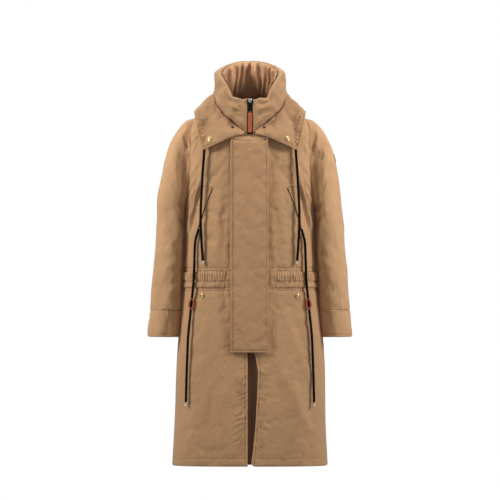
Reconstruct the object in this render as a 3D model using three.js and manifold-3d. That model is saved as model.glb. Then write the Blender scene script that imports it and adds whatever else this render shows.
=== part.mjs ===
// A long padded parka, hanging closed by the loop inside its back neck.
//
// Units are millimetres. X runs to the wearer's left, Y from front to back, Z up.
// The coat is laid out with Z = 0 at its hem, and the whole group is then moved so that
// the origin is at the crown of the hanger loop.
//
// Soft parts are shells: a surface given by a formula, made thick along its normals.

import * as THREE from 'three';
import { mergeVertices } from 'three/addons/utils/BufferGeometryUtils.js';
import Module from 'manifold-3d';

const wasm = await Module();
wasm.setup();

// ---- Driving dimensions ------------------------------------------------------------------

// Torso
const HEM_HALF_WIDTH = 233;
const CHEST_HALF_WIDTH = 195;
const CHEST_Z = 650; // the skirt widens below this height
const SIDE_TOP_Z = 915; // the sides round into the shoulders above this height
const YOKE_Z = 880; // rows of the torso tilt towards the neckline above this height
const NECK_HALF_WIDTH = 104;
const NECK_FRONT_Z = 985;
const NECK_SIDE_Z = 1068;
const NECK_BACK_Z = 1083;
const NECK_BACK_Y = 74;
const HEM_BACK_Y = 150;
const YOKE_BACK_Y = 139;
const FRONT_LEAN = THREE.MathUtils.degToRad(3); // the centre front leans back going up
const FRONT_TOP = { y: -92, z: 1098 }; // the top of the centre front line
const SHELL_THICKNESS = 10;
const SEAM_TURN = 0.002; // half of a side seam's gap, in quarter turns
const EDGE_X = { right: 8, left: 9 }; // front edges beside the zip
const SLIT_EDGE_X = { right: 8, left: 16 }; // front edges below the zip
const SLIT_TOP_Z = 345;

// Armhole, an oval on the torso's side
const ARMHOLE_Z = 902;
const ARMHOLE_HALF_HEIGHT = 137;
const ARMHOLE_HALF_TURN = 0.36;
const ARMHOLE_GAP = 1.5;

// Sleeve and cuff: outer and inner edge, half depth and middle
const SLEEVE_OUTER = [[169.5, 1039], [196, 1030], [222, 1000], [247, 945], [266, 850], [282, 670], [299, 465]];
const SLEEVE_INNER = [[197, 765], [200, 735], [201, 640], [207, 545], [213, 465]];
const SLEEVE_HALF_DEPTH = [72, 76, 70, 66, 64];
const CUFF_OUTER = [[299.5, 462], [307.5, 385]];
const CUFF_INNER = [[213.5, 462], [218, 380]];
const CUFF_HALF_DEPTH = [65, 62];
const SLEEVE_MIDDLE_Y = [14, 14, 10, 6, 4];
const CUFF_MIDDLE_Y = [4, 2];
const SLEEVE_SEGMENTS = 16;
const SLEEVE_RINGS = 11;

// Collars
const COLLAR_TOP = { halfWidth: 98, halfDepth: 78, middleY: -10 };
const COLLAR_THICKNESS = 14;
const COLLAR_FRONT_Z = 1098;
const COLLAR_SIDE_RISE = 66;
const COLLAR_BACK_RISE = 49;
const COLLAR_EDGE_TURN = 5.4 / 90; // half of the zip's gap, in quarter turns
const CAPE_INNER = { halfWidth: 111, halfDepth: 94, middleY: -10, frontZ: 986, rise: 150, sideRise: 26 };
const CAPE_OUTER = [
  [16, -107, 991], [62, -113, 978], [113, -106, 955], [140, -94, 943], [156, -84, 975],
  [166, -58, 1024], [168, -10, 1054], [168, 30, 1060], [164, 70, 1043], [154, 110, 1000],
  [134, 138, 967], [75, 151, 958], [0, 154, 957],
];
const CAPE_FRONT_TURN = 8.5 / 90;
const CAPE_THICKNESS = 12;
const CAPE_EDGE_THICKNESS = 3;

// Placket, on a plane that leans with the centre front; Z here runs up along that plane
const PLACKET = { halfWidth: 54, bottom: 338, top: 973, back: -4, thickness: 7 };
const PLACKET_SNAP = { x: 40, radius: 5, socket: 1.7, stud: 2, heights: [420, 620, 820] };

// Zip, on the same leaning plane
const ZIP = { bottom: 354, top: 1092, teethInner: 0.9, teethOuter: 3.4, tapeOuter: 7.7, middle: 7.5 };
const SLIDER = { z: 1091, halfLength: 6, halfWidth: 5.5, plate: 2.2, channel: 4.6, web: 1.0 };
const BAIL = { halfWidth: 1.5, thickness: 1.4, clearance: 2.0, halfLength: 4.2 };
const PULL_LINK = { length: 36, halfWidth: 4.3, rail: 1.3 };
const PULL_TAB = { length: 60, halfWidth: 6.5, thickness: 2.6, eyeRadius: 2.2, eyeHole: 1.1, eyeHalfWidth: 2.6 };

// Cords
const NECK_CORD_RADIUS = 3.1;
const WAIST_CORD_RADIUS = 2.9;
const NECK_CORD_ROUTE = [
  [136.5, -92, 936], [138, -93.5, 915], [141, -95, 880], [143, -96, 840], [145.5, -97, 795],
  [146, -98, 758], [146, -99, 720], [145, -100, 680], [143, -101, 645], [140.5, -102, 612],
];
const WAIST_CORD_ROUTE = [
  [163, -78, 676], [164, -81.5, 655], [165, -84, 625], [166.5, -87, 590], [168.5, -89.5, 545],
  [173.1, -90.9, 500], [178.1, -92.4, 450], [182, -93.6, 412], [184.2, -94.3, 390],
  [186, -95.8, 352], [187.5, -97.5, 312], [189, -99.5, 270], [190, -102, 230], [191, -104, 190],
];
const CORD_TIP = { radius: 3.4, length: 10, gap: 0.4 };
const TOGGLE = { z: 483, halfWidth: 9, halfHeight: 18, thickness: 11, clearance: 0.5 };

// Trims on the front panels
const WAIST_BAND = { inner: 70, outerTurn: 0.93, bottom: 551, top: 580, lift: 4.6, thickness: 3 };
const HIP_WELT = { inner: 74, outerTurn: 0.9, bottom: 530, top: 547, lift: 4.6, thickness: 3 };
const CHEST_WELT = { upper: [0.333, 829], lower: [0.56, 692], halfTurn: 0.012, lift: 4, thickness: 2.5 };
const BUTTON_SNAP = { radius: 7, height: 3 };
const HIP_SNAP = { x: 142, z: 508 };

// Inside the neck
const HANGER_LOOP = { halfWidth: 30, height: 26, strap: 2.5, depth: 5, y: 40, z: 1062 };
const NECK_LABEL = { width: 62, height: 34, thickness: 1.2 };

// Sleeve patch: a flat plate on the outer side of the wearer's left sleeve
const PATCH = { z: 918, height: 26, width: 24, thickness: 1.6 };

// ---- Materials ---------------------------------------------------------------------------

const cloth = (color) => new THREE.MeshStandardMaterial({ color, roughness: 0.85, metalness: 0 });
const metal = (color) => new THREE.MeshStandardMaterial({ color, roughness: 0.3, metalness: 1 });

const SHELL_CLOTH = cloth(0xac8862);
const CAPE_CLOTH = cloth(0xc09c79);
const LINING_CLOTH = cloth(0x9a7350);
const BLACK_CORD = cloth(0x1b1a19);
const ZIP_TAPE = cloth(0x1d1c1b);
const LEATHER = new THREE.MeshStandardMaterial({ color: 0x994a1f, roughness: 0.55, metalness: 0 });
const GOLD = metal(0xd9b36a);
const SILVER = metal(0xc9c9c6);
const BLACK_METAL = metal(0x222222);

// ---- Helpers -----------------------------------------------------------------------------

const coat = new THREE.Group();
const { lerp, smoothstep } = THREE.MathUtils;

function addMesh(parent, name, geometry, material) {
  const mesh = new THREE.Mesh(geometry, material);
  mesh.name = name;
  parent.add(mesh);
  return mesh;
}

// The value of a list of evenly spaced numbers at t from 0 to 1.
function along(values, t) {
  const place = t * (values.length - 1);
  const index = Math.min(Math.floor(place), values.length - 2);
  return lerp(values[index], values[index + 1], place - index);
}

function curveThrough(points) {
  const vectors = points.map((p) => new THREE.Vector3(p[0], p[1], p[2]));
  return new THREE.CatmullRomCurve3(vectors, false, 'centripetal');
}

function mirrorRoute(route, side) {
  return route.map(([x, y, z]) => [side * x, y, z]);
}

// The surface's unit normal at (u, v), pointing away from the core point.
function normalAt(surface, core, u, v, wraps) {
  const step = 1e-3;
  const clamp = (value) => (wraps ? value : Math.min(1, Math.max(0, value)));
  const clampRow = (value) => Math.min(1, Math.max(0, value));
  const across = surface(clamp(u + step), v).sub(surface(clamp(u - step), v));
  const up = surface(u, clampRow(v + step)).sub(surface(u, clampRow(v - step)));
  const normal = across.cross(up).normalize();
  const outward = surface(u, v).sub(core(u, v));
  return normal.dot(outward) < 0 ? normal.negate() : normal;
}

// A closed solid between two grids of points, open or wrapped round in the first direction.
function shellBetween(outer, inner, wraps) {
  const rows = outer.length;
  const columns = outer[0].length;
  const points = [...outer.flat(), ...inner.flat()];
  const index = (layer, row, column) => layer * rows * columns + row * columns + (column % columns);
  const faces = [];
  const quad = (a, b, c, d) => faces.push([a, b, c], [a, c, d]);
  const cells = wraps ? columns : columns - 1;
  for (let row = 0; row < rows - 1; row += 1) {
    for (let column = 0; column < cells; column += 1) {
      const corners = (layer) => [
        index(layer, row, column), index(layer, row, column + 1),
        index(layer, row + 1, column + 1), index(layer, row + 1, column),
      ];
      quad(...corners(0));
      quad(...corners(1).reverse());
    }
  }
  for (let column = 0; column < cells; column += 1) {
    const last = rows - 1;
    quad(index(1, 0, column), index(1, 0, column + 1), index(0, 0, column + 1), index(0, 0, column));
    quad(index(0, last, column), index(0, last, column + 1), index(1, last, column + 1), index(1, last, column));
  }
  for (let row = 0; row < rows - 1 && !wraps; row += 1) {
    const last = columns - 1;
    quad(index(0, row, 0), index(0, row + 1, 0), index(1, row + 1, 0), index(1, row, 0));
    quad(index(1, row, last), index(1, row + 1, last), index(0, row + 1, last), index(0, row, last));
  }
  return solidFrom(points, faces);
}

// A geometry from points and faces, turned inside out if its faces point inwards.
function solidFrom(points, faces) {
  const volume = faces.reduce((sum, [a, b, c]) => sum + points[a].dot(points[b].clone().cross(points[c])), 0);
  const outward = volume < 0 ? faces.map(([a, b, c]) => [a, c, b]) : faces;
  const geometry = new THREE.BufferGeometry();
  const positions = points.flatMap((p) => [p.x, p.y, p.z]);
  geometry.setAttribute('position', new THREE.Float32BufferAttribute(positions, 3));
  geometry.setIndex(outward.flat());
  geometry.computeVertexNormals();
  return geometry;
}

// A surface made thick: its outer face is lifted off the surface, and its inner face is
// a thickness below that. The rows are a count, or the places of the rows from 0 to 1.
function thicken(surface, core, columns, rows, { lift = 0, thickness, wraps = false }) {
  const places = Array.isArray(rows) ? rows : Array.from({ length: rows + 1 }, (_, k) => k / rows);
  const count = wraps ? columns : columns + 1;
  const layer = (depth) => places.map((v) => Array.from({ length: count }, (_, k) => {
    const u = k / columns;
    const here = typeof depth === 'function' ? depth(u, v) : depth;
    return surface(u, v).addScaledVector(normalAt(surface, core, u, v, wraps), here);
  }));
  const under = typeof thickness === 'function' ? (u, v) => lift - thickness(u, v) : lift - thickness;
  return shellBetween(layer(lift), layer(under), wraps);
}

function toManifold(geometry) {
  const bare = geometry.clone();
  Object.keys(bare.attributes).filter((key) => key !== 'position').forEach((key) => bare.deleteAttribute(key));
  const merged = mergeVertices(bare, 1e-4);
  return new wasm.Manifold(new wasm.Mesh({
    numProp: 3,
    vertProperties: new Float32Array(merged.attributes.position.array),
    triVerts: new Uint32Array(merged.index.array),
  }));
}

function fromManifold(manifold) {
  const { vertProperties, triVerts } = manifold.getMesh();
  const geometry = new THREE.BufferGeometry();
  geometry.setAttribute('position', new THREE.Float32BufferAttribute(vertProperties, 3));
  geometry.setIndex(Array.from(triVerts));
  geometry.computeVertexNormals();
  return geometry;
}

function box(low, high) {
  const size = low.map((value, axis) => high[axis] - value);
  const geometry = new THREE.BoxGeometry(...size);
  return geometry.translate(...low.map((value, axis) => value + size[axis] / 2));
}

function join(...geometries) {
  return fromManifold(geometries.map(toManifold).reduce((whole, piece) => whole.add(piece)));
}

// ---- Torso surface -----------------------------------------------------------------------

const frontY = (z) => FRONT_TOP.y - (FRONT_TOP.z - z) * Math.tan(FRONT_LEAN);

function backY(z) {
  if (z <= YOKE_Z) {
    return lerp(HEM_BACK_Y, YOKE_BACK_Y, z / YOKE_Z);
  }
  const rise = Math.min(1, (z - YOKE_Z) / (NECK_BACK_Z - YOKE_Z));
  return NECK_BACK_Y + (YOKE_BACK_Y - NECK_BACK_Y) * Math.sqrt(1 - rise ** 2);
}

function halfWidth(row) {
  if (row <= CHEST_Z) {
    return lerp(HEM_HALF_WIDTH, CHEST_HALF_WIDTH, row / CHEST_Z);
  }
  const rise = Math.min(1, Math.max(0, (row - SIDE_TOP_Z) / (NECK_SIDE_Z - SIDE_TOP_Z)));
  return NECK_HALF_WIDTH + (CHEST_HALF_WIDTH - NECK_HALF_WIDTH) * Math.sqrt(1 - rise ** 3);
}

// How square the torso's section is: 2 is an ellipse.
const squareness = (row) => lerp(2.5, 2.1, Math.max(0, (row - YOKE_Z) / (NECK_SIDE_Z - YOKE_Z)));

// A point of the torso's outside. The turn is 0 at the centre front, 1 at the wearer's left
// side, 2 at the centre back, and negative on the wearer's right. The row is the height that
// the row has at the side seam.
function torsoPoint(turn, row) {
  const climb = Math.max(0, (row - YOKE_Z) / (NECK_SIDE_Z - YOKE_Z));
  const low = Math.min(row, YOKE_Z);
  const frontZ = low + climb * (NECK_FRONT_Z - YOKE_Z);
  const backZ = low + climb * (NECK_BACK_Z - YOKE_Z);
  const power = 2 / squareness(row);
  const angle = (Math.abs(turn) * Math.PI) / 2;
  const sine = Math.abs(Math.sin(angle));
  const ahead = Math.sign(Math.cos(angle)) * Math.abs(Math.cos(angle)) ** power;
  const middle = (frontY(frontZ) + backY(backZ)) / 2;
  const depth = (backY(backZ) - frontY(frontZ)) / 2;
  const endZ = ahead > 0 ? frontZ : backZ;
  const x = Math.sign(turn) * halfWidth(row) * sine ** power;
  return new THREE.Vector3(x, middle - depth * ahead, endZ + (row - endZ) * sine ** 2);
}

// The turn at which a row of the torso is a distance x from the centre, on the front.
function turnAtX(x, row) {
  const sine = (x / halfWidth(row)) ** (squareness(row) / 2);
  return Math.asin(Math.min(1, sine)) / (Math.PI / 2);
}

function armholeTurn(row) {
  const height = (row - ARMHOLE_Z) / ARMHOLE_HALF_HEIGHT;
  return ARMHOLE_HALF_TURN * Math.sqrt(Math.max(0, 1 - height ** 2));
}

// Rows that a torso panel has: the armhole's rows fall on the sleeve's own segments.
function torsoRows() {
  const below = [0, 60, 170, 338, 352, 470, 590, 690];
  const beside = Array.from({ length: SLEEVE_SEGMENTS / 2 + 1 }, (_, k) => {
    const angle = Math.PI - (k * 2 * Math.PI) / SLEEVE_SEGMENTS;
    return ARMHOLE_Z + ARMHOLE_HALF_HEIGHT * Math.cos(angle);
  });
  return [...below, ...beside, 1054, NECK_SIDE_Z];
}

// ---- Torso panels and linings ------------------------------------------------------------

const torsoCore = (surface) => (u, v) => new THREE.Vector3(0, 10, surface(u, v).z);

function frontSurface(side, edgeX, slitEdgeX) {
  return (u, v) => {
    const row = v * NECK_SIDE_Z;
    const edge = turnAtX(row < SLIT_TOP_Z ? slitEdgeX : edgeX, row);
    const end = 1 - SEAM_TURN - armholeTurn(row);
    return torsoPoint(side * lerp(edge, end, u), row);
  };
}

function backSurface(u, v) {
  const row = v * NECK_SIDE_Z;
  const reach = 1 - SEAM_TURN - armholeTurn(row);
  const across = (2 * u - 1) * reach;
  return torsoPoint(across < 0 ? -2 - across : 2 - across, row);
}

function makeTorso() {
  const rows = torsoRows().map((row) => row / NECK_SIDE_Z);
  const liningRows = rows.filter((_, k) => k > 0 && k < rows.length - 1 && k !== 3);
  const lining = { lift: -SHELL_THICKNESS - 4, thickness: 2 };
  for (const [name, side] of [['left', 1], ['right', -1]]) {
    const panel = frontSurface(side, EDGE_X[name], SLIT_EDGE_X[name]);
    const inside = frontSurface(side, 36, 36);
    const solid = thicken(panel, torsoCore(panel), 8, rows, { thickness: SHELL_THICKNESS });
    addMesh(coat, `${name}_front_panel`, solid, SHELL_CLOTH);
    addMesh(coat, `${name}_front_lining`, thicken(inside, torsoCore(inside), 6, liningRows, lining), LINING_CLOTH);
  }
  const back = thicken(backSurface, torsoCore(backSurface), 14, rows, { thickness: SHELL_THICKNESS });
  addMesh(coat, 'back_panel', back, SHELL_CLOTH);
  addMesh(coat, 'back_lining', thicken(backSurface, torsoCore(backSurface), 12, liningRows, lining), LINING_CLOTH);
}

// ---- Sleeves and cuffs -------------------------------------------------------------------

// A tube between an outer and an inner edge in the XZ plane, oval in Y.
function tubeSurface(side, outer, inner, halfDepth, middleY) {
  const outerCurve = curveThrough(outer.map(([x, z]) => [x, 0, z]));
  const innerCurve = curveThrough(inner.map(([x, z]) => [x, 0, z]));
  return (u, v) => {
    const far = outerCurve.getPointAt(v);
    const near = innerCurve.getPointAt(v);
    const angle = u * 2 * Math.PI;
    const point = near.clone().add(far).multiplyScalar(0.5);
    point.addScaledVector(far.clone().sub(near), 0.5 * Math.cos(angle));
    point.y = along(middleY, v) - along(halfDepth, v) * Math.sin(angle);
    point.x *= side;
    return point;
  };
}

// The armhole's edge on the torso, at an angle from the shoulder's tip towards the front.
function armholePoint(side, u) {
  const angle = u * 2 * Math.PI;
  const row = ARMHOLE_Z + ARMHOLE_HALF_HEIGHT * Math.cos(angle);
  const point = torsoPoint(side * (1 - ARMHOLE_HALF_TURN * Math.sin(angle)), row);
  point.x += side * ARMHOLE_GAP;
  return point;
}

function sleeveSurface(side) {
  const tube = tubeSurface(side, SLEEVE_OUTER, SLEEVE_INNER, SLEEVE_HALF_DEPTH, SLEEVE_MIDDLE_Y);
  const merge = 0.2; // the share of the sleeve over which the armhole's curve fades out
  return (u, v) => {
    const fade = 1 - smoothstep(v, 0, merge);
    const shift = armholePoint(side, u).sub(tube(u, 0));
    return tube(u, v).addScaledVector(shift, fade);
  };
}

function tubeCore(surface) {
  return (u, v) => surface(u, v).add(surface(u + 0.5, v)).multiplyScalar(0.5);
}

function makeSleeves() {
  for (const [name, side] of [['left', 1], ['right', -1]]) {
    const sleeve = sleeveSurface(side);
    const cuff = tubeSurface(side, CUFF_OUTER, CUFF_INNER, CUFF_HALF_DEPTH, CUFF_MIDDLE_Y);
    const core = tubeCore(sleeve);
    const rings = Array.from({ length: 8 }, (_, k) => 0.08 + (k * 0.9) / 7);
    const shell = thicken(sleeve, core, SLEEVE_SEGMENTS, SLEEVE_RINGS, { thickness: SHELL_THICKNESS, wraps: true });
    const lining = thicken(sleeve, core, 12, rings, { lift: -SHELL_THICKNESS - 5, thickness: 2, wraps: true });
    addMesh(coat, `${name}_sleeve`, shell, SHELL_CLOTH);
    addMesh(coat, `${name}_sleeve_lining`, lining, LINING_CLOTH);
    const cuffSolid = thicken(cuff, tubeCore(cuff), SLEEVE_SEGMENTS, 2, { thickness: SHELL_THICKNESS, wraps: true });
    addMesh(coat, `${name}_cuff`, cuffSolid, SHELL_CLOTH);
  }
}

// ---- Collars -----------------------------------------------------------------------------

function collarRimZ(turn) {
  const sideRise = COLLAR_SIDE_RISE * smoothstep(turn, 0.35, 0.83);
  const backRise = COLLAR_BACK_RISE * smoothstep(turn, 0.75, 2);
  return COLLAR_FRONT_Z + sideRise + backRise;
}

// The stand collar, from the neckline up to its rim.
function collarSurface(u, v) {
  const turn = lerp(-2 + 1e-6, 2 - 1e-6, u);
  const away = lerp(COLLAR_EDGE_TURN, 2, Math.abs(turn) / 2) * Math.sign(turn || 1);
  const open = Math.sign(away) * (2 - Math.abs(away) + COLLAR_EDGE_TURN);
  const angle = (open * Math.PI) / 2;
  const bottom = torsoPoint(open, NECK_SIDE_Z);
  bottom.z += 1.5;
  const top = new THREE.Vector3(
    COLLAR_TOP.halfWidth * Math.sin(angle),
    COLLAR_TOP.middleY - COLLAR_TOP.halfDepth * Math.cos(angle),
    collarRimZ(Math.abs(open)),
  );
  const puff = 3 * Math.sin(Math.PI * v);
  const point = bottom.lerp(top, v);
  point.x += puff * Math.sin(angle);
  point.y -= puff * Math.cos(angle);
  return point;
}

const collarCore = (u, v) => new THREE.Vector3(0, COLLAR_TOP.middleY, collarSurface(u, v).z);

// The cape collar, from the fold round the stand collar out to its hem.
const capeHalf = curveThrough([...CAPE_OUTER, ...mirrorRoute(CAPE_OUTER.slice(0, -1), -1).reverse()]);

function capeSurface(u, v) {
  const outer = capeHalf.getPoint(u);
  const share = Math.abs(2 * u - 1);
  const turn = Math.sign(1 - 2 * u || 1) * lerp(2, CAPE_FRONT_TURN, share);
  const angle = (turn * Math.PI) / 2;
  const climb = Math.sin(Math.min(Math.abs(angle), 1.75) / 2);
  const inner = new THREE.Vector3(
    CAPE_INNER.halfWidth * Math.sin(angle),
    CAPE_INNER.middleY - CAPE_INNER.halfDepth * Math.cos(angle),
    CAPE_INNER.frontZ + CAPE_INNER.rise * climb + CAPE_INNER.sideRise * smoothstep(Math.abs(turn), 0.75, 1.2),
  );
  const puff = 17 * Math.sin(Math.PI * v) * (1 - share ** 8);
  const point = inner.lerp(outer, v);
  point.x += puff * Math.sin(angle) * 0.7;
  point.y -= puff * Math.cos(angle);
  point.z += puff * 0.6;
  return point;
}

const capeCore = (u, v) => new THREE.Vector3(0, 0, capeSurface(u, v).z - 90);
const capeThickness = (u, v) => {
  const fromEdge = Math.min(1, v / 0.25);
  const fromFront = Math.min(1, (1 - Math.abs(2 * u - 1)) / 0.06);
  return lerp(CAPE_EDGE_THICKNESS, CAPE_THICKNESS, fromEdge * fromFront);
};

function makeCollars() {
  const shell = { thickness: COLLAR_THICKNESS };
  const lining = { lift: -COLLAR_THICKNESS - 2.5, thickness: 2.5 };
  addMesh(coat, 'stand_collar', thicken(collarSurface, collarCore, 26, 4, shell), CAPE_CLOTH);
  addMesh(coat, 'collar_lining', thicken(collarSurface, collarCore, 26, [0.02, 0.35, 0.7, 0.98], lining), LINING_CLOTH);
  addMesh(coat, 'cape_collar', thicken(capeSurface, capeCore, 32, 4, { thickness: capeThickness }), CAPE_CLOTH);
}

// ---- Placket and zip, on the leaning front plane -----------------------------------------

const front = new THREE.Group();
front.position.set(0, frontY(0), 0);
front.rotation.x = -FRONT_LEAN;
coat.add(front);

function disc(radius, height, segments = 12) {
  const profile = [[0, 0], [radius, 0], [radius, height * 0.55], [radius * 0.7, height * 0.92], [0, height]];
  return new THREE.LatheGeometry(profile.map(([r, y]) => new THREE.Vector2(r, y)), segments);
}

function makePlacket() {
  const { halfWidth: reach, bottom, top, back, thickness } = PLACKET;
  const flap = box([-reach, back - thickness, bottom], [reach, back, top]);
  addMesh(front, 'placket', flap, SHELL_CLOTH);
  PLACKET_SNAP.heights.forEach((z, k) => {
    const half = (height) => new THREE.CylinderGeometry(PLACKET_SNAP.radius, PLACKET_SNAP.radius, height, 10);
    const socket = addMesh(front, `placket_snap_socket_${k + 1}`, half(PLACKET_SNAP.socket), GOLD);
    socket.position.set(PLACKET_SNAP.x, back + 0.3 + PLACKET_SNAP.socket / 2, z);
    const stud = addMesh(front, `placket_snap_stud_${k + 1}`, half(PLACKET_SNAP.stud), GOLD);
    stud.position.set(PLACKET_SNAP.x, 0.4 - PLACKET_SNAP.stud / 2, z);
  });
}

function makeZip() {
  const { bottom, top, teethInner, teethOuter, tapeOuter, middle } = ZIP;
  for (const [name, side] of [['left', 1], ['right', -1]]) {
    const across = (a, b) => [Math.min(side * a, side * b), Math.max(side * a, side * b)];
    const [teethLow, teethHigh] = across(teethInner, teethOuter);
    const [tapeLow, tapeHigh] = across(teethOuter + 0.3, tapeOuter);
    const teeth = box([teethLow, middle - 1.5, bottom], [teethHigh, middle + 1.5, top - 6]);
    const tape = box([tapeLow, middle - 0.5, bottom - 4], [tapeHigh, middle + 0.5, top + 3]);
    addMesh(front, `${name}_zip_teeth`, teeth, BLACK_METAL);
    addMesh(front, `${name}_zip_tape`, tape, ZIP_TAPE);
  }
  const stop = box([-3.4, middle - 2.5, bottom - 12], [3.4, middle + 2.5, bottom - 0.6]);
  addMesh(front, 'zip_bottom_box', stop, BLACK_METAL);
}

// The slider: two plates joined by a web that runs between the rows of teeth, and a bail.
function makeSlider() {
  const { z, halfLength, halfWidth: half, plate, channel, web } = SLIDER;
  const near = ZIP.middle - channel / 2;
  const far = ZIP.middle + channel / 2;
  const low = z - halfLength;
  const high = z + halfLength;
  const outerY = near - plate - BAIL.clearance - BAIL.thickness;
  const solid = join(
    box([-half, near - plate, low], [half, near, high]),
    box([-half, far, low], [half, far + plate, high]),
    box([-web / 2, near - 0.1, low], [web / 2, far + 0.1, high]),
    box([-BAIL.halfWidth, outerY, z - BAIL.halfLength], [BAIL.halfWidth, outerY + BAIL.thickness, z + BAIL.halfLength]),
    box([-BAIL.halfWidth, outerY, z + BAIL.halfLength - 1.6], [BAIL.halfWidth, near - plate + 0.1, z + BAIL.halfLength]),
    box([-BAIL.halfWidth, outerY, z - BAIL.halfLength], [BAIL.halfWidth, near - plate + 0.1, z - BAIL.halfLength + 1.6]),
  );
  addMesh(front, 'zip_slider', solid, SILVER);
}

// The pull: a slim wire link in the bail, and a leather tab folded round the link's far bar.
function makePull() {
  const pivotY = ZIP.middle - SLIDER.channel / 2 - SLIDER.plate - BAIL.clearance / 2;
  const { length, halfWidth: half, rail } = PULL_LINK;
  const top = SLIDER.z + rail / 2;
  const outline = new THREE.Shape();
  outline.moveTo(-half, top - length).lineTo(half, top - length).lineTo(half, top).lineTo(-half, top).closePath();
  const hole = new THREE.Path();
  hole.moveTo(-half + rail, top - length + rail).lineTo(-half + rail, top - rail);
  hole.lineTo(half - rail, top - rail).lineTo(half - rail, top - length + rail).closePath();
  outline.holes.push(hole);
  const link = new THREE.ExtrudeGeometry(outline, { depth: rail, bevelEnabled: false });
  link.rotateX(Math.PI / 2).translate(0, pivotY + rail / 2, 0);
  addMesh(front, 'zip_pull_link', link, BLACK_METAL);

  const barZ = top - length + rail / 2;
  const { length: tabLength, halfWidth: tabHalf, thickness, eyeRadius, eyeHole, eyeHalfWidth } = PULL_TAB;
  const eye = new THREE.CylinderGeometry(eyeRadius, eyeRadius, 2 * eyeHalfWidth, 12);
  const bore = new THREE.CylinderGeometry(eyeHole, eyeHole, 2 * eyeHalfWidth + 2, 12);
  const strapTop = barZ - eyeRadius - 0.4;
  const neck = box([-eyeHalfWidth, -thickness / 2, strapTop - 0.5], [eyeHalfWidth, thickness / 2, barZ - eyeHole]);
  const strap = box([-tabHalf, -thickness / 2, barZ - tabLength], [tabHalf, thickness / 2, strapTop]);
  const solid = toManifold(eye.rotateZ(Math.PI / 2).translate(0, 0, barZ))
    .add(toManifold(neck))
    .add(toManifold(strap))
    .subtract(toManifold(bore.rotateZ(Math.PI / 2).translate(0, 0, barZ)));
  addMesh(front, 'zip_pull_tab', fromManifold(solid).translate(0, pivotY, 0), LEATHER);
}

// The wind flap behind the zip and the slit, down to just above the hem.
function makeWindFlap() {
  const flap = box([-22, SHELL_THICKNESS + 3.5, 6], [30, SHELL_THICKNESS + 6.5, 950]);
  addMesh(front, 'wind_flap', flap, SHELL_CLOTH);
}

// ---- Trims on the front panels -----------------------------------------------------------

function patchSurface(side, innerX, outerTurn, bottom, top) {
  return (u, v) => {
    const row = lerp(bottom, top, v);
    return torsoPoint(side * lerp(turnAtX(innerX, row), outerTurn, u), row);
  };
}

// Turns an object that is modelled along +Y so that it stands on a surface.
function standOn(mesh, surface, core, u, v, lift) {
  const normal = normalAt(surface, core, u, v, false);
  mesh.position.copy(surface(u, v)).addScaledVector(normal, lift);
  mesh.quaternion.setFromUnitVectors(new THREE.Vector3(0, 1, 0), normal);
}

function makeTrims() {
  for (const [name, side] of [['left', 1], ['right', -1]]) {
    for (const [trim, sizes] of [['waist_band', WAIST_BAND], ['hip_pocket_welt', HIP_WELT]]) {
      const surface = patchSurface(side, sizes.inner, sizes.outerTurn, sizes.bottom, sizes.top);
      const solid = thicken(surface, torsoCore(surface), 8, 1, { lift: sizes.lift, thickness: sizes.thickness });
      addMesh(coat, `${name}_${trim}`, solid, SHELL_CLOTH);
    }
    const { upper, lower, halfTurn, lift, thickness } = CHEST_WELT;
    const welt = (u, v) => {
      const turn = lerp(lower[0], upper[0], v) + halfTurn * (2 * u - 1);
      return torsoPoint(side * turn, lerp(lower[1], upper[1], v));
    };
    const solid = thicken(welt, torsoCore(welt), 1, 5, { lift, thickness });
    addMesh(coat, `${name}_chest_pocket_welt`, solid, SHELL_CLOTH);

    const whole = (u, v) => torsoPoint(side * u, v * NECK_SIDE_Z);
    const hipSnap = addMesh(coat, `${name}_hip_snap`, disc(BUTTON_SNAP.radius, BUTTON_SNAP.height), GOLD);
    standOn(hipSnap, whole, torsoCore(whole), turnAtX(HIP_SNAP.x, HIP_SNAP.z), HIP_SNAP.z / NECK_SIDE_Z, 0.5);
  }
}

// Snaps and eyelets on the cape: places are shares of the hem's length and of its width.
function makeCapeHardware() {
  const places = {
    left: { snap: [0.1, 0.76], eyelet: [0.036, 0.3] },
    right: { snap: [0.893, 0.76], eyelet: [0.955, 0.3] },
  };
  for (const [name, { snap, eyelet }] of Object.entries(places)) {
    const cap = addMesh(coat, `${name}_cape_snap`, disc(BUTTON_SNAP.radius, BUTTON_SNAP.height), GOLD);
    standOn(cap, capeSurface, capeCore, snap[0], snap[1], 0.8);
    const profile = [[2.2, 0], [4.4, 0], [4.2, 1.2], [2.6, 1.6], [2.2, 0]];
    const ring = new THREE.LatheGeometry(profile.map(([r, y]) => new THREE.Vector2(r, y)), 12);
    const eye = addMesh(coat, `${name}_cape_eyelet`, ring, BLACK_METAL);
    standOn(eye, capeSurface, capeCore, eyelet[0], eyelet[1], 0.8);
  }
}

// ---- Cords -------------------------------------------------------------------------------

function octagon(radius) {
  const points = Array.from({ length: 8 }, (_, k) => {
    const angle = (k * Math.PI) / 4;
    return new THREE.Vector2(radius * Math.cos(angle), radius * Math.sin(angle));
  });
  return new THREE.Shape(points);
}

// A cord along its route, and the metal tip below its end.
function makeCord(name, side, route, radius) {
  const path = curveThrough(mirrorRoute(route, side));
  const steps = Math.round(path.getLength() / (6 * radius));
  const tube = new THREE.ExtrudeGeometry(octagon(radius), { steps, extrudePath: path, bevelEnabled: false });
  addMesh(coat, `${name}_cord`, tube, BLACK_CORD);
  const tip = addMesh(coat, `${name}_cord_tip`, disc(CORD_TIP.radius, CORD_TIP.length), SILVER);
  const end = path.getPointAt(1);
  const direction = path.getTangentAt(1);
  tip.position.copy(end).addScaledVector(direction, CORD_TIP.gap);
  tip.quaternion.setFromUnitVectors(new THREE.Vector3(0, 1, 0), direction);
}

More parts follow.
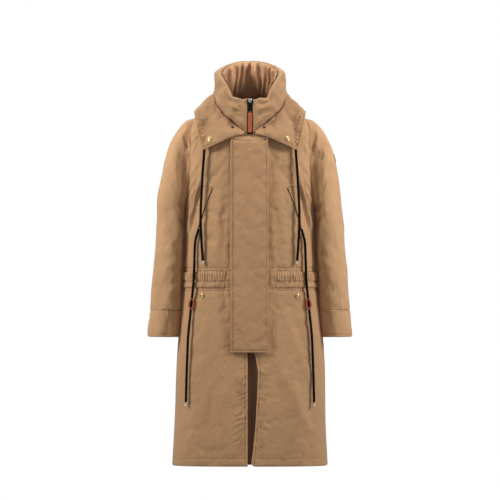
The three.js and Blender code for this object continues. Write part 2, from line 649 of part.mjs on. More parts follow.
// An oval leather toggle with a bore along the straight stretch of the waist cord.
function makeToggle(name, side) {
  const above = new THREE.Vector3(side * 168.5, -89.5, 545);
  const below = new THREE.Vector3(side * 182, -93.6, 412);
  const place = above.clone().lerp(below, (above.z - TOGGLE.z) / (above.z - below.z));
  const outline = new THREE.Shape().absellipse(0, 0, TOGGLE.halfWidth, TOGGLE.halfHeight, 0, 2 * Math.PI, false, 0);
  const body = new THREE.ExtrudeGeometry(outline, { depth: TOGGLE.thickness, bevelEnabled: false, curveSegments: 10 });
  body.translate(0, 0, -TOGGLE.thickness / 2).rotateX(Math.PI / 2);
  const boreRadius = WAIST_CORD_RADIUS + TOGGLE.clearance;
  const bore = new THREE.CylinderGeometry(boreRadius, boreRadius, 4 * TOGGLE.halfHeight, 12).rotateX(Math.PI / 2);
  const solid = fromManifold(toManifold(body).subtract(toManifold(bore)));
  const mesh = addMesh(coat, `${name}_cord_toggle`, solid, LEATHER);
  mesh.position.copy(place);
  mesh.quaternion.setFromUnitVectors(new THREE.Vector3(0, 0, 1), above.clone().sub(below).normalize());
}

function makeCords() {
  for (const [name, side] of [['left', 1], ['right', -1]]) {
    makeCord(`${name}_neck`, side, NECK_CORD_ROUTE, NECK_CORD_RADIUS);
    makeCord(`${name}_waist`, side, WAIST_CORD_ROUTE, WAIST_CORD_RADIUS);
    makeToggle(name, side);
  }
}

// ---- Inside the neck, and the sleeve patch -----------------------------------------------

// A strap bent into an arch: the hook passes through it along Y.
function makeHangerLoop() {
  const { halfWidth: half, height, strap, depth, y, z } = HANGER_LOOP;
  const arch = new THREE.Shape();
  arch.absellipse(0, 0, half, height, 0, Math.PI, false, 0);
  arch.lineTo(-half + strap, 0);
  arch.absellipse(0, 0, half - strap, height - strap, Math.PI, 0, true, 0);
  arch.closePath();
  const solid = new THREE.ExtrudeGeometry(arch, { depth, bevelEnabled: false, curveSegments: 12 });
  solid.rotateX(Math.PI / 2).translate(0, y + depth / 2, z);
  addMesh(coat, 'hanger_loop', solid, BLACK_CORD);
}

function makeSleevePatch() {
  const surface = sleeveSurface(1);
  let place = 0;
  while (surface(0, place).z > PATCH.z) {
    place += 0.002;
  }
  const plate = new THREE.BoxGeometry(PATCH.width, PATCH.thickness, PATCH.height);
  const patch = addMesh(coat, 'sleeve_patch', plate, BLACK_CORD);
  const normal = normalAt(surface, tubeCore(surface), 0, place, true);
  patch.position.copy(surface(0, place)).addScaledVector(normal, 2.4);
  const up = surface(0, place - 0.01).sub(surface(0, place + 0.01)).normalize();
  const across = new THREE.Vector3().crossVectors(normal, up);
  patch.quaternion.setFromRotationMatrix(new THREE.Matrix4().makeBasis(across, normal, up));
}

// ---- The coat ----------------------------------------------------------------------------

makeTorso();
makeSleeves();
makeCollars();
makePlacket();
makeZip();
makeSlider();
makePull();
makeWindFlap();
makeTrims();
makeCapeHardware();
makeCords();
makeHangerLoop();
makeSleevePatch();

coat.position.set(0, -HANGER_LOOP.y, -(HANGER_LOOP.z + HANGER_LOOP.height - HANGER_LOOP.strap));

export default coat;
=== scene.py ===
"""A long padded parka that hangs closed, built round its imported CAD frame.

Sizes are millimetres in the coat's own layout, with z = 0 at the hem, until to_frame()
turns them into metres in the frame's coordinates. +X is the wearer's left, -Y the front.
"""

import math

import bpy
import numpy as np
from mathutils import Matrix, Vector


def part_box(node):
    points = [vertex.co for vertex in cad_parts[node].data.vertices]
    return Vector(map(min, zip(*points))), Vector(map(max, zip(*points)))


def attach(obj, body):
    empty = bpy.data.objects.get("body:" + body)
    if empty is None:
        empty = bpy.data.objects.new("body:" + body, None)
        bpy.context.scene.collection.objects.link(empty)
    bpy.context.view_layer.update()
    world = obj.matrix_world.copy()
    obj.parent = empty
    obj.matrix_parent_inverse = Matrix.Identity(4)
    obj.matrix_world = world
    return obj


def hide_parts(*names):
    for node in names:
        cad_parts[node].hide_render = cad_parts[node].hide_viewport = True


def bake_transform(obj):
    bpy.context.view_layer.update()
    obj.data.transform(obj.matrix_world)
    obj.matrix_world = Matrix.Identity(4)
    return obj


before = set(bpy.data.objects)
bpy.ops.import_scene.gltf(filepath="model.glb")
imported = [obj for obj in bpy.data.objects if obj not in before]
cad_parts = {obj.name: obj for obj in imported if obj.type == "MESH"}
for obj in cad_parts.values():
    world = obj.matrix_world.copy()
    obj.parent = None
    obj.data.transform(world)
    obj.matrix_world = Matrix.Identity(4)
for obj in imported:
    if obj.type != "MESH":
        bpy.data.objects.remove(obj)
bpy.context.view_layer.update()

# ---- Sizes of the coat --------------------------------------------------------------------

ORIGIN = np.array([0.0, 40.0, 1085.5])  # the crown of the hanger loop
LEAN = math.radians(3)

HEM_HALF_WIDTH, CHEST_HALF_WIDTH, NECK_HALF_WIDTH = 233, 195, 104
CHEST_Z, SIDE_TOP_Z, YOKE_Z = 650, 915, 880
NECK_FRONT_Z, NECK_SIDE_Z, NECK_BACK_Z = 985, 1068, 1083
NECK_BACK_Y, HEM_BACK_Y, YOKE_BACK_Y = 74, 150, 139
FRONT_TOP_Y, FRONT_TOP_Z = -92, 1098
SHELL = 10  # thickness of the padded shell

ARMHOLE_Z, ARMHOLE_HALF_HEIGHT, ARMHOLE_HALF_TURN, ARMHOLE_TUCK = 902, 137, 0.29, 2.5
SLEEVE_OUTER = [(169.5, 1039), (196, 1030), (222, 1000), (247, 945), (266, 850), (282, 670), (299, 465)]
SLEEVE_INNER = [(190, 765), (189, 735), (188, 640), (193, 545), (199, 465)]
SLEEVE_HALF_DEPTH = [72, 76, 70, 66, 64]
SLEEVE_MIDDLE_Y = [14, 14, 10, 6, 4]
CUFF_OUTER = [(299.1, 464.8), (307.5, 385)]
CUFF_INNER = [(199.1, 464.8), (205, 383)]
CUFF_HALF_DEPTH, CUFF_MIDDLE_Y = [64, 62], [4, 2]

COLLAR_TOP = {"half_width": 98, "half_depth": 78, "middle_y": -10}
COLLAR_THICKNESS = 14
COLLAR_RIM = [(0, 1097), (0.3, 1098), (0.38, 1103), (0.46, 1122), (0.56, 1141), (0.66, 1154), (0.8, 1168),
              (1, 1179), (1.3, 1192), (1.6, 1206), (1.83, 1212), (2, 1213)]  # turn and height
COLLAR_EDGE_TURN = 4.6 / 90
CAPE_INNER = {"half_width": 105, "half_depth": 89, "middle_y": -10, "front_z": 986, "rise": 148, "side": 20}
CAPE_OUTER = [
    (16, -107, 991), (62, -113, 978), (110, -107, 957), (133, -98, 946.5), (139, -95, 944), (142.5, -93, 949),
    (149, -86, 972), (160, -68, 1020), (167, -36, 1051), (168.5, 0, 1061), (168, 36, 1058), (163, 74, 1040),
    (153, 112, 1000), (134, 138, 967), (75, 151, 958), (0, 154, 957),
]
CAPE_FRONT_TURN = 8.5 / 90
CAPE_THICKNESS = 12
# half width, height
NECKLINE = [(15.6, 994.5), (32.4, 1008), (54.6, 1029), (79.5, 1051), (99, 1076), (106, 1096)]

FLAP = {"left": -58.5, "right": 54, "bottom": 338, "seam": 973, "top": 993, "back": -4, "thickness": 5}
SLIT_TOP = 345
ZIP_BOTTOM, ZIP_TOP, ZIP_Y = 354, 1086, 7.5
SLIDER_Z, PULL_Y, LINK_LENGTH = 1091, 2.0, 36
TAB_LENGTH, TAB_WIDTH, TAB_STITCH_X = 60, 13, 4.6

NECK_CORD_RADIUS, WAIST_CORD_RADIUS = 3.9, 3.7
NECK_CORD_ROUTE = [
    (135.5, -86.5, 954), (136.5, -91, 938), (138, -93.5, 915), (141, -95, 880), (143, -96, 840),
    (145.5, -97, 795), (147, -98, 758), (147, -99, 720), (145, -100, 680), (143, -101, 645), (140.5, -102, 612),
]
WAIST_CORD_ROUTE = [
    (153, -87, 706), (158, -84, 690), (162.5, -82, 674), (164.5, -82.5, 655), (165.5, -84.5, 625),
    (166.5, -87, 590), (168.5, -89.5, 545),
    (173.1, -90.9, 500), (178.1, -92.4, 450), (182, -93.6, 412), (184.2, -94.3, 390),
    (186, -95.8, 352), (187.5, -97.5, 312), (189, -99.5, 270), (190, -102, 230), (191, -104, 190),
]
TOGGLE_Z = 483
SIDES = {"left": 1, "right": -1}
UP = np.array([0, 0, 1.0])

# ---- Curves and surfaces ------------------------------------------------------------------


def to_frame(points):
    return (np.asarray(points, float) - ORIGIN) / 1000


def lerp(a, b, t):
    return a + (b - a) * t


def smooth(value, low, high):
    t = np.clip((np.asarray(value, float) - low) / (high - low), 0, 1)
    return t * t * (3 - 2 * t)


def curve(points, t):
    """A centripetal Catmull-Rom curve through the points, at t from 0 to 1."""
    points = np.asarray(points, float)
    ends = np.vstack([2 * points[0] - points[1], points, 2 * points[-1] - points[-2]])
    place = np.clip(np.asarray(t, float), 0, 1) * (len(points) - 1)
    index = np.minimum(place.astype(int), len(points) - 2)
    w = (place - index)[..., None]
    p0, p1, p2, p3 = (ends[index + k] for k in range(4))
    pairs = ((p0, p1), (p1, p2), (p2, p3))
    d0, d1, d2 = (np.linalg.norm(b - a, axis=-1, keepdims=True) ** 0.5 for a, b in pairs)
    m1 = ((p1 - p0) / d0 - (p2 - p0) / (d0 + d1) + (p2 - p1) / d1) * d1
    m2 = ((p2 - p1) / d1 - (p3 - p1) / (d1 + d2) + (p3 - p2) / d2) * d1
    c2 = -3 * p1 + 3 * p2 - 2 * m1 - m2
    c3 = 2 * p1 - 2 * p2 + m1 + m2
    return p1 + m1 * w + c2 * w ** 2 + c3 * w ** 3


def curve_by_length(points, t):
    """The same curve, at t of its length."""
    fine = np.linspace(0, 1, 201)
    steps = np.linalg.norm(np.diff(curve(points, fine), axis=0), axis=1)
    length = np.concatenate([[0], np.cumsum(steps)])
    return curve(points, np.interp(np.clip(t, 0, 1) * length[-1], length, fine))


def along(values, t):
    return np.interp(np.clip(t, 0, 1), np.linspace(0, 1, len(values)), values)


def nearest(values, wanted):
    return int(np.argmin(abs(values - wanted)))


def upward(distance):
    """A vector up for each distance of a grid."""
    return distance[..., None] * UP


def front_y(z):
    return FRONT_TOP_Y - (FRONT_TOP_Z - z) * math.tan(LEAN)


def back_y(z):
    rise = np.clip((z - YOKE_Z) / (NECK_BACK_Z - YOKE_Z), 0, 1)
    above = NECK_BACK_Y + (YOKE_BACK_Y - NECK_BACK_Y) * np.sqrt(1 - rise ** 2)
    return np.where(z <= YOKE_Z, lerp(HEM_BACK_Y, YOKE_BACK_Y, z / YOKE_Z), above)


def half_width(row):
    rise = np.clip((row - SIDE_TOP_Z) / (NECK_SIDE_Z - SIDE_TOP_Z), 0, 1)
    above = NECK_HALF_WIDTH + (CHEST_HALF_WIDTH - NECK_HALF_WIDTH) * np.sqrt(1 - rise ** 3)
    return np.where(row <= CHEST_Z, lerp(HEM_HALF_WIDTH, CHEST_HALF_WIDTH, row / CHEST_Z), above)


def squareness(row):
    return lerp(2.5, 2.1, np.maximum(0, (row - YOKE_Z) / (NECK_SIDE_Z - YOKE_Z)))


def torso(turn, row):
    """The torso's outside. The turn is 0 at the centre front, 1 at a side and 2 at the back."""
    turn, row = np.broadcast_arrays(np.asarray(turn, float), np.asarray(row, float))
    climb = np.maximum(0, (row - YOKE_Z) / (NECK_SIDE_Z - YOKE_Z))
    low = np.minimum(row, YOKE_Z)
    front_z = low + climb * (NECK_FRONT_Z - YOKE_Z)
    back_z = low + climb * (NECK_BACK_Z - YOKE_Z)
    power = 2 / squareness(row)
    angle = np.abs(turn) * math.pi / 2
    sine = np.abs(np.sin(angle))
    ahead = np.sign(np.cos(angle)) * np.abs(np.cos(angle)) ** power
    middle = (front_y(front_z) + back_y(back_z)) / 2
    depth = (back_y(back_z) - front_y(front_z)) / 2
    end_z = np.where(ahead > 0, front_z, back_z)
    x = np.sign(turn) * half_width(row) * sine ** power
    return np.stack([x, middle - depth * ahead, end_z + (row - end_z) * sine ** 2], axis=-1)


def turn_at_x(x, row):
    sine = np.clip(np.abs(x) / half_width(row), 0, 1) ** (squareness(row) / 2)
    return np.sign(x) * np.arcsin(np.clip(sine, 0, 1)) / (math.pi / 2)


def armhole_turn(row):
    height = np.clip(np.abs(row - ARMHOLE_Z) / ARMHOLE_HALF_HEIGHT, 0, 1)
    return ARMHOLE_HALF_TURN * np.sqrt(1 - height ** 2)


def tube(side, outer, inner, half_depth, middle_y, u, v):
    far, near = curve_by_length(outer, v), curve_by_length(inner, v)
    angle = u * 2 * math.pi
    across = (near + far) / 2 + (far - near) / 2 * np.cos(angle)[..., None]
    y = along(middle_y, v) - along(half_depth, v) * np.sin(angle)
    return np.stack([side * across[..., 0], y, across[..., 1]], axis=-1)


def sleeve_surface(side):
    def surface(u, v):
        angle = u * 2 * math.pi
        row = ARMHOLE_Z + ARMHOLE_HALF_HEIGHT * np.cos(angle)
        armhole = torso(side * (1 - ARMHOLE_HALF_TURN * np.sin(angle)), row)
        armhole = armhole - np.array([side * ARMHOLE_TUCK, 0, 0])
        sizes = (SLEEVE_OUTER, SLEEVE_INNER, SLEEVE_HALF_DEPTH, SLEEVE_MIDDLE_Y)
        shift = armhole - tube(side, *sizes, u, np.zeros_like(v))
        fade = 1 - smooth(v, 0, 0.2)
        return tube(side, *sizes, u, v) + shift * fade[..., None]

    return surface


def cuff_surface(side):
    return lambda u, v: tube(side, CUFF_OUTER, CUFF_INNER, CUFF_HALF_DEPTH, CUFF_MIDDLE_Y, u, v)


def collar_rim_z(turn):
    """The rim is low and level across the front, climbs steeply beside it and is highest behind."""
    fine = curve([(turn, 0, z) for turn, z in COLLAR_RIM], np.linspace(0, 1, 120))
    return np.interp(turn, fine[:, 0], fine[:, 2])


def collar_turn(u):
    """The turn of a place along the collar, from its edge beside the zip round to the other."""
    return lerp(COLLAR_EDGE_TURN, 4 - COLLAR_EDGE_TURN, u)


def collar_surface(u, v):
    turn = collar_turn(u)
    signed = np.where(turn > 2, turn - 4, turn)
    angle = signed * math.pi / 2
    bottom = torso(signed, NECK_SIDE_Z) + 1.5 * UP
    overhang = 13 * smooth(0.85 - np.abs(signed), 0, 0.5) * smooth(np.abs(signed), 0.07, 0.36)
    top = np.stack([
        COLLAR_TOP["half_width"] * np.sin(angle),
        COLLAR_TOP["middle_y"] - COLLAR_TOP["half_depth"] * np.cos(angle) - overhang,
        collar_rim_z(np.abs(signed)),
    ], axis=-1)
    puff = 3 * np.sin(math.pi * v)
    out = np.stack([np.sin(angle), -np.cos(angle), np.zeros_like(angle)], axis=-1)
    return lerp(bottom, top, v[..., None]) + puff[..., None] * out


CAPE_EDGE = CAPE_OUTER + [(-x, y, z) for x, y, z in CAPE_OUTER[-2::-1]]


def cape_surface(u, v):
    outer = curve(CAPE_EDGE, u)
    share = np.abs(2 * u - 1)
    turn = np.where(u > 0.5, -1, 1) * lerp(2, CAPE_FRONT_TURN, share)
    angle = turn * math.pi / 2
    climb = np.sin(np.minimum(np.abs(angle), 1.75) / 2)
    over_shoulder = smooth(np.abs(turn), 0.75, 1.2)
    z = CAPE_INNER["front_z"] + CAPE_INNER["rise"] * climb + CAPE_INNER["side"] * over_shoulder
    inner = np.stack([
        CAPE_INNER["half_width"] * np.sin(angle),
        CAPE_INNER["middle_y"] - CAPE_INNER["half_depth"] * np.cos(angle),
        z,
    ], axis=-1)
    at_side = np.sin(np.minimum(np.abs(angle), math.pi / 2)) ** 2
    puff = lerp(9, 1.5, at_side) * np.sin(math.pi * v) * (1 - share ** 8)
    out = np.stack([0.7 * np.sin(angle), -np.cos(angle), np.full_like(angle, 0.6)], axis=-1)
    return lerp(inner, outer, v[..., None]) + puff[..., None] * out


def leaning(x, y, z):
    """Points on the leaning front plane, where y is its depth and z runs up along it."""
    x, y, z = np.broadcast_arrays(np.asarray(x, float), np.asarray(y, float), np.asarray(z, float))
    lean_y = front_y(0) + math.cos(LEAN) * y + math.sin(LEAN) * z
    return np.stack([x, lean_y, -math.sin(LEAN) * y + math.cos(LEAN) * z], axis=-1)


def core_at(y, z=0.0):
    """A function from places on a piece to the middle of the piece beside them."""
    return lambda points: points * UP + np.array([0, y, z])


def normals(surface, u, v, core):
    """Unit normals of a surface at (u, v), pointing away from the core point of each place."""
    step = 1e-3
    across = surface(u + step, v) - surface(u - step, v)
    up = surface(u, np.minimum(v + step, 1)) - surface(u, np.maximum(v - step, 0))
    found = np.cross(across, up)
    found /= np.maximum(np.linalg.norm(found, axis=-1, keepdims=True), 1e-9)
    here = surface(u, v)
    outward = np.sum(found * (here - core(here)), axis=-1, keepdims=True)
    return here, np.where(outward < 0, -found, found)


# ---- Relief: noise, folds, edges ----------------------------------------------------------


def noise(points, scale, seed, waves=14):
    """Smooth noise of about -1 to 1, with a length scale for each axis, in millimetres."""
    rng = np.random.default_rng(seed)
    directions = rng.normal(size=(waves, 3))
    directions /= np.linalg.norm(directions, axis=1, keepdims=True)
    directions *= rng.uniform(0.6, 1.4, size=(waves, 1))
    phases = rng.uniform(0, 2 * math.pi, waves)
    q = np.asarray(points) / np.asarray(scale, float) * 2 * math.pi
    total = sum(np.sin(q @ d + p) for d, p in zip(directions, phases))
    return total / math.sqrt(waves)


def bell(distance, width):
    """1 at a distance of 0, falling smoothly to nothing at about twice the width."""
    return np.exp(-((distance / width) ** 2))


def fold(x, z, start, end, width, height):
    """A soft ridge, or a valley if its height is below 0, along a line in the (x, z) plane."""
    a, b = np.array(start, float), np.array(end, float)
    span = b - a
    t = ((x - a[0]) * span[0] + (z - a[1]) * span[1]) / (span @ span)
    off = ((x - a[0]) * span[1] - (z - a[1]) * span[0]) / math.hypot(*span)
    taper = smooth(t, -0.15, 0.3) * smooth(1 - t, -0.15, 0.3)
    return height * taper * bell(off, width)


def groove(distance, depth, width=1.6):
    """A stitched line that is pulled into the padding."""
    return -depth * bell(distance, width) - 0.45 * depth * bell(distance, 4 * width)


def rounded(distance, radius):
    """0 at an edge, rising as a quarter round to 1 a radius away from it."""
    t = np.clip(distance / radius, 0, 1)
    return np.sqrt(1 - (1 - t) ** 2)


def spread(length, step, fine_start=True, fine_end=True, lines=()):
    """Places from 0 to length, closer together at the ends and beside stitched lines."""
    places = list(np.linspace(0, length, max(2, round(length / step)) + 1))
    ends = [0.25, 0.8, 1.7, 2.9]
    if fine_start:
        places += ends
    if fine_end:
        places += [length - e for e in ends]
    for line in lines:
        places = [p for p in places if abs(p - line) > 2.6]
        places += [line - 2.2, line - 1, line, line + 1, line + 2.2]
    return np.unique(np.round(places, 3))


# ---- Meshes -------------------------------------------------------------------------------


def add_object(name, data):
    made = bpy.data.objects.new(name, data)
    bpy.context.scene.collection.objects.link(made)
    return made


def mesh_object(name, points, faces, material, smooth_faces=True):
    """A mesh piece from points in the coat's millimetres."""
    mesh = bpy.data.meshes.new(name)
    mesh.from_pydata(to_frame(points).tolist(), [], [list(map(int, f)) for f in faces])
    mesh.materials.append(material)
    mesh.polygons.foreach_set("use_smooth", [smooth_faces] * len(mesh.polygons))
    mesh.update()
    return add_object(name, mesh)


def grid_faces(rows, columns, wraps, offset=0):
    cells = columns if wraps else columns - 1
    row, column = np.meshgrid(np.arange(rows - 1), np.arange(cells), indexing="ij")
    after = (column + 1) % columns
    here, above = row * columns, (row + 1) * columns
    quads = [here + column, here + after, above + after, above + column]
    return np.stack(quads, axis=-1).reshape(-1, 4) + offset


def layered(name, outer, inner, wraps, material):
    """A closed piece between an outer and an inner grid of points."""
    rows, columns = outer.shape[:2]
    count = rows * columns
    front = grid_faces(rows, columns, wraps)
    faces = [front, grid_faces(rows, columns, wraps, count)[:, ::-1]]
    ring = [np.arange(columns), np.arange(columns) + (rows - 1) * columns]
    for k, line in enumerate(ring):
        after = np.roll(line, -1) if wraps else line[1:]
        line = line if wraps else line[:-1]
        strip = np.stack([line + count, after + count, after, line], axis=-1)
        faces.append(strip if k == 0 else strip[:, ::-1])
    if not wraps:
        for k, line in enumerate([np.arange(rows) * columns, np.arange(rows) * columns + columns - 1]):
            strip = np.stack([line[:-1], line[1:], line[1:] + count, line[:-1] + count], axis=-1)
            faces.append(strip if k == 0 else strip[:, ::-1])
    points = np.vstack([outer.reshape(-1, 3), inner.reshape(-1, 3)])
    faces = np.vstack(faces)
    middle = outer[rows // 2, columns // 2] - inner[rows // 2, columns // 2]
    a, b, c = (outer[rows // 2 + i, columns // 2 + j] for i, j in ((0, 0), (0, 1), (1, 0)))
    if np.dot(np.cross(b - a, c - a), middle) < 0:
        faces = faces[:, ::-1]
    return mesh_object(name, points, faces, material)


# ---- The frame ----------------------------------------------------------------------------


def belong(pieces, body="root"):
    """Pieces that ride on a body."""
    for piece in pieces:
        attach(piece, body)


def stand_for(piece, node, body="root"):
    """A piece that belongs to a body and replaces a CAD node."""
    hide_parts(node)
    belong((piece,), body)


# ---- Cloth --------------------------------------------------------------------------------


def held_at(low_u, high_u, low_v, high_v):
    """Cloth that is held along its edges, up to these places along and across it."""
    return lambda u, v, points: (u < low_u) | (u > high_u) | (v < low_v) | (v > high_v)


def settle(surface, core, size, pinned, pressure, slack, cap, wraps=False, frames=16):
    """Lets a coarse grid of loose cloth swell between its pinned points.

    The cloth is longer than the surface by its slack. Each point's shift comes back in
    millimetres, and is no longer than the cap.
    """
    rows, columns = size
    shift = np.zeros((rows, columns, 3))
    v, u = np.meshgrid(np.linspace(0, 1, rows), np.linspace(0, 1, columns, endpoint=not wraps), indexing="ij")
    points, normal = normals(surface, u, v, core)
    start = points + normal * (0.6 * noise(points, (40, 40, 40), 3))[..., None]
    faces = grid_faces(rows, columns, wraps)
    middle = faces[len(faces) // 2]
    a, b, c = (start.reshape(-1, 3)[middle[k]] for k in (0, 1, 3))
    if np.dot(np.cross(b - a, c - a), normal.reshape(-1, 3)[middle[0]]) < 0:
        faces = faces[:, ::-1]
    cloth_piece = mesh_object("cloth", start.reshape(-1, 3), faces, bpy.data.materials[0])
    group = cloth_piece.vertex_groups.new(name="pinned")
    for index, held in enumerate(pinned(u, v, points).ravel()):
        group.add([index], float(held), "REPLACE")
    modifier = cloth_piece.modifiers.new("cloth", "CLOTH")
    settings = modifier.settings
    settings.quality = 5
    settings.mass = 0.25
    settings.tension_stiffness = 14
    settings.compression_stiffness = 14
    settings.shear_stiffness = 5
    settings.bending_stiffness = 0.3
    settings.air_damping = 2
    settings.vertex_group_mass = "pinned"
    settings.use_pressure = True
    settings.uniform_pressure_force = pressure
    settings.shrink_min = -slack
    settings.effector_weights.gravity = 0
    modifier.point_cache.frame_start = 1
    modifier.point_cache.frame_end = frames
    scene = bpy.context.scene
    for number in range(1, frames + 1):
        scene.frame_set(number)
    settled = cloth_piece.evaluated_get(bpy.context.evaluated_depsgraph_get()).to_mesh()
    found = np.zeros(rows * columns * 3, np.float32)
    settled.vertices.foreach_get("co", found)
    data = cloth_piece.data
    bpy.data.objects.remove(cloth_piece)
    bpy.data.meshes.remove(data)
    scene.frame_set(1)
    shift = found.reshape(rows, columns, 3) * 1000 + ORIGIN - points
    length = np.linalg.norm(shift, axis=-1, keepdims=True)
    return shift * np.minimum(1, cap / np.maximum(length, 1e-6))


def resample(values, u, v, wraps=False):
    """The values of a coarse grid at (u, v), by cubic interpolation."""
    rows, columns = values.shape[:2]

    def weights(t):
        t2, t3 = t * t, t ** 3
        return [(-t3 + 2 * t2 - t) / 2, (3 * t3 - 5 * t2 + 2) / 2, (-3 * t3 + 4 * t2 + t) / 2, (t3 - t2) / 2]

    y = np.clip(v, 0, 1) * (rows - 1)
    x = (u % 1) * columns if wraps else np.clip(u, 0, 1) * (columns - 1)
    row, column = np.minimum(y.astype(int), rows - 2), x.astype(int)
    column = column if wraps else np.minimum(column, columns - 2)
    total = 0
    for i, down in enumerate(weights(y - row)):
        for j, right in enumerate(weights(x - column)):
            k = (column + j - 1) % columns if wraps else np.clip(column + j - 1, 0, columns - 1)
            total = total + (down * right)[..., None] * values[np.clip(row + i - 1, 0, rows - 1), k]
    return total


def loosened(surface, core, size, pinned, strength, u, v, wraps=False):
    """How far cloth on a surface settles at (u, v). The strength is a pressure, a slack and a cap."""
    return resample(settle(surface, core, size, pinned, *strength, wraps), u, v, wraps)


# ---- Materials ----------------------------------------------------------------------------


def srgb(red, green, blue):
    def linear(value):
        value /= 255
        return value / 12.92 if value <= 0.04045 else ((value + 0.055) / 1.055) ** 2.4

    return (linear(red), linear(green), linear(blue), 1)


def shade(color, factor):
    return tuple(min(1, c * factor) for c in color[:3]) + (1,)


def new_material(name, color, roughness, metallic=0.0):
    material = bpy.data.materials.new(name)
    material.use_nodes = True
    material.diffuse_color = color
    tree = material.node_tree
    shader = tree.nodes["Principled BSDF"]
    shader.inputs["Base Color"].default_value = color
    shader.inputs["Roughness"].default_value = roughness
    shader.inputs["Metallic"].default_value = metallic
    return material, tree, shader


def add_node(tree, kind, **inputs):
    made = tree.nodes.new(kind)
    for key, value in inputs.items():
        made.inputs[key.replace("_", " ")].default_value = value
    return made


def object_coordinates(tree, scale):
    place = tree.nodes.new("ShaderNodeTexCoord")
    mapping = tree.nodes.new("ShaderNodeMapping")
    mapping.inputs["Scale"].default_value = scale
    tree.links.new(place.outputs["Object"], mapping.inputs["Vector"])
    return mapping.outputs["Vector"]


def mottle(tree, shader, color, scale, low, high, detail=3.0):
    """A colour that varies gently over the surface."""
    pattern = add_node(tree, "ShaderNodeTexNoise", Scale=scale, Detail=detail, Roughness=0.55)
    tree.links.new(object_coordinates(tree, (1, 1, 0.6)), pattern.inputs["Vector"])
    ramp = tree.nodes.new("ShaderNodeValToRGB")
    ramp.color_ramp.elements[0].position = 0.3
    ramp.color_ramp.elements[1].position = 0.7
    ramp.color_ramp.elements[0].color = shade(color, low)
    ramp.color_ramp.elements[1].color = shade(color, high)
    tree.links.new(pattern.outputs["Fac"], ramp.inputs["Fac"])
    tree.links.new(ramp.outputs["Color"], shader.inputs["Base Color"])
    return ramp


def add_bump(tree, shader, height, strength, distance, below=None):
    bump = add_node(tree, "ShaderNodeBump", Strength=strength, Distance=distance)
    tree.links.new(height, bump.inputs["Height"])
    if below is not None:
        tree.links.new(below.outputs["Normal"], bump.inputs["Normal"])
    tree.links.new(bump.outputs["Normal"], shader.inputs["Normal"])
    return bump


def woven_height(tree, pitch):
    """The height of a plain weave whose threads are a pitch apart, in metres."""
    product = tree.nodes.new("ShaderNodeMath")
    product.operation = "ADD"
    for k, (direction, bands) in enumerate((("Z", 1.0), ("DIAGONAL", 0.8))):
        wave = add_node(tree, "ShaderNodeTexWave", Scale=bands * 0.31 / pitch, Distortion=0.6, Detail=1.0)
        wave.bands_direction = direction
        tree.links.new(object_coordinates(tree, (1, 1, 1)), wave.inputs["Vector"])
        tree.links.new(wave.outputs["Fac"], product.inputs[k])
    return product.outputs[0]


def cloth_material(name, color, roughness=0.78, crinkle=0.7, pitch=0.0009, sheen=0.3):
    material, tree, shader = new_material(name, color, roughness)
    mottle(tree, shader, color, 9.0, 0.955, 1.045)
    shader.inputs["Sheen Weight"].default_value = sheen
    shader.inputs["Sheen Roughness"].default_value = 0.45
    shader.inputs["Sheen Tint"].default_value = (1, 0.92, 0.82, 1)
    shader.inputs["Specular IOR Level"].default_value = 0.25
    wrinkles = None
    for scale, stretch, depth in ((38.0, (1, 1, 0.35), 0.0028), (105.0, (0.6, 1, 1), 0.0018)):
        soft = add_node(tree, "ShaderNodeTexNoise", Scale=scale, Detail=3.0, Roughness=0.55, Distortion=0.8)
        tree.links.new(object_coordinates(tree, stretch), soft.inputs["Vector"])
        wrinkles = add_bump(tree, shader, soft.outputs["Fac"], crinkle, depth, wrinkles)
    add_bump(tree, shader, woven_height(tree, pitch), 0.25, 0.00012, wrinkles)
    return material


def painted_shade_by_height(name, low, high, bottom, top):
    """A cloth that grows lighter from a height at its bottom to one at its top, in metres: painted shade low down
    and painted light high up.
    """
    material = cloth_material(name, high, roughness=0.5, crinkle=0.2, sheen=0.05)
    tree = material.node_tree
    place = tree.nodes.new("ShaderNodeSeparateXYZ")
    tree.links.new(object_coordinates(tree, (1, 1, 1)), place.inputs["Vector"])
    height = tree.nodes.new("ShaderNodeMapRange")
    height.inputs["From Min"].default_value = bottom
    height.inputs["From Max"].default_value = top
    tree.links.new(place.outputs["Z"], height.inputs["Value"])
    ramp = tree.nodes.new("ShaderNodeValToRGB")
    ramp.color_ramp.elements[0].color = low
    ramp.color_ramp.elements[1].color = high
    tree.links.new(height.outputs["Result"], ramp.inputs["Fac"])
    tree.links.new(ramp.outputs["Color"], tree.nodes["Principled BSDF"].inputs["Base Color"])
    return material


def leather_material(name, color):
    material, tree, shader = new_material(name, color, 0.5)
    mottle(tree, shader, color, 220.0, 0.75, 1.15)
    shader.inputs["Coat Weight"].default_value = 0.15
    shader.inputs["Coat Roughness"].default_value = 0.35
    grain = add_node(tree, "ShaderNodeTexVoronoi", Scale=900.0)
    tree.links.new(object_coordinates(tree, (1, 1, 1)), grain.inputs["Vector"])
    add_bump(tree, shader, grain.outputs["Distance"], 0.4, 0.0003)
    return material


def cord_material(name, color):
    """A tight braid: two sets of slanting strands over each other."""
    material, tree, shader = new_material(name, color, 0.8)
    mottle(tree, shader, color, 300.0, 0.7, 1.5)
    shader.inputs["Specular IOR Level"].default_value = 0.08
    add_bump(tree, shader, woven_height(tree, 0.0016), 0.7, 0.0005)
    return material


def metal_material(name, color, roughness):
    material, tree, shader = new_material(name, color, roughness, 1.0)
    mottle(tree, shader, color, 160.0, 0.92, 1.06)
    scratches = add_node(tree, "ShaderNodeTexNoise", Scale=900.0, Detail=2.0)
    tree.links.new(object_coordinates(tree, (1, 1, 0.15)), scratches.inputs["Vector"])
    add_bump(tree, shader, scratches.outputs["Fac"], 0.12, 0.0002)
    return material


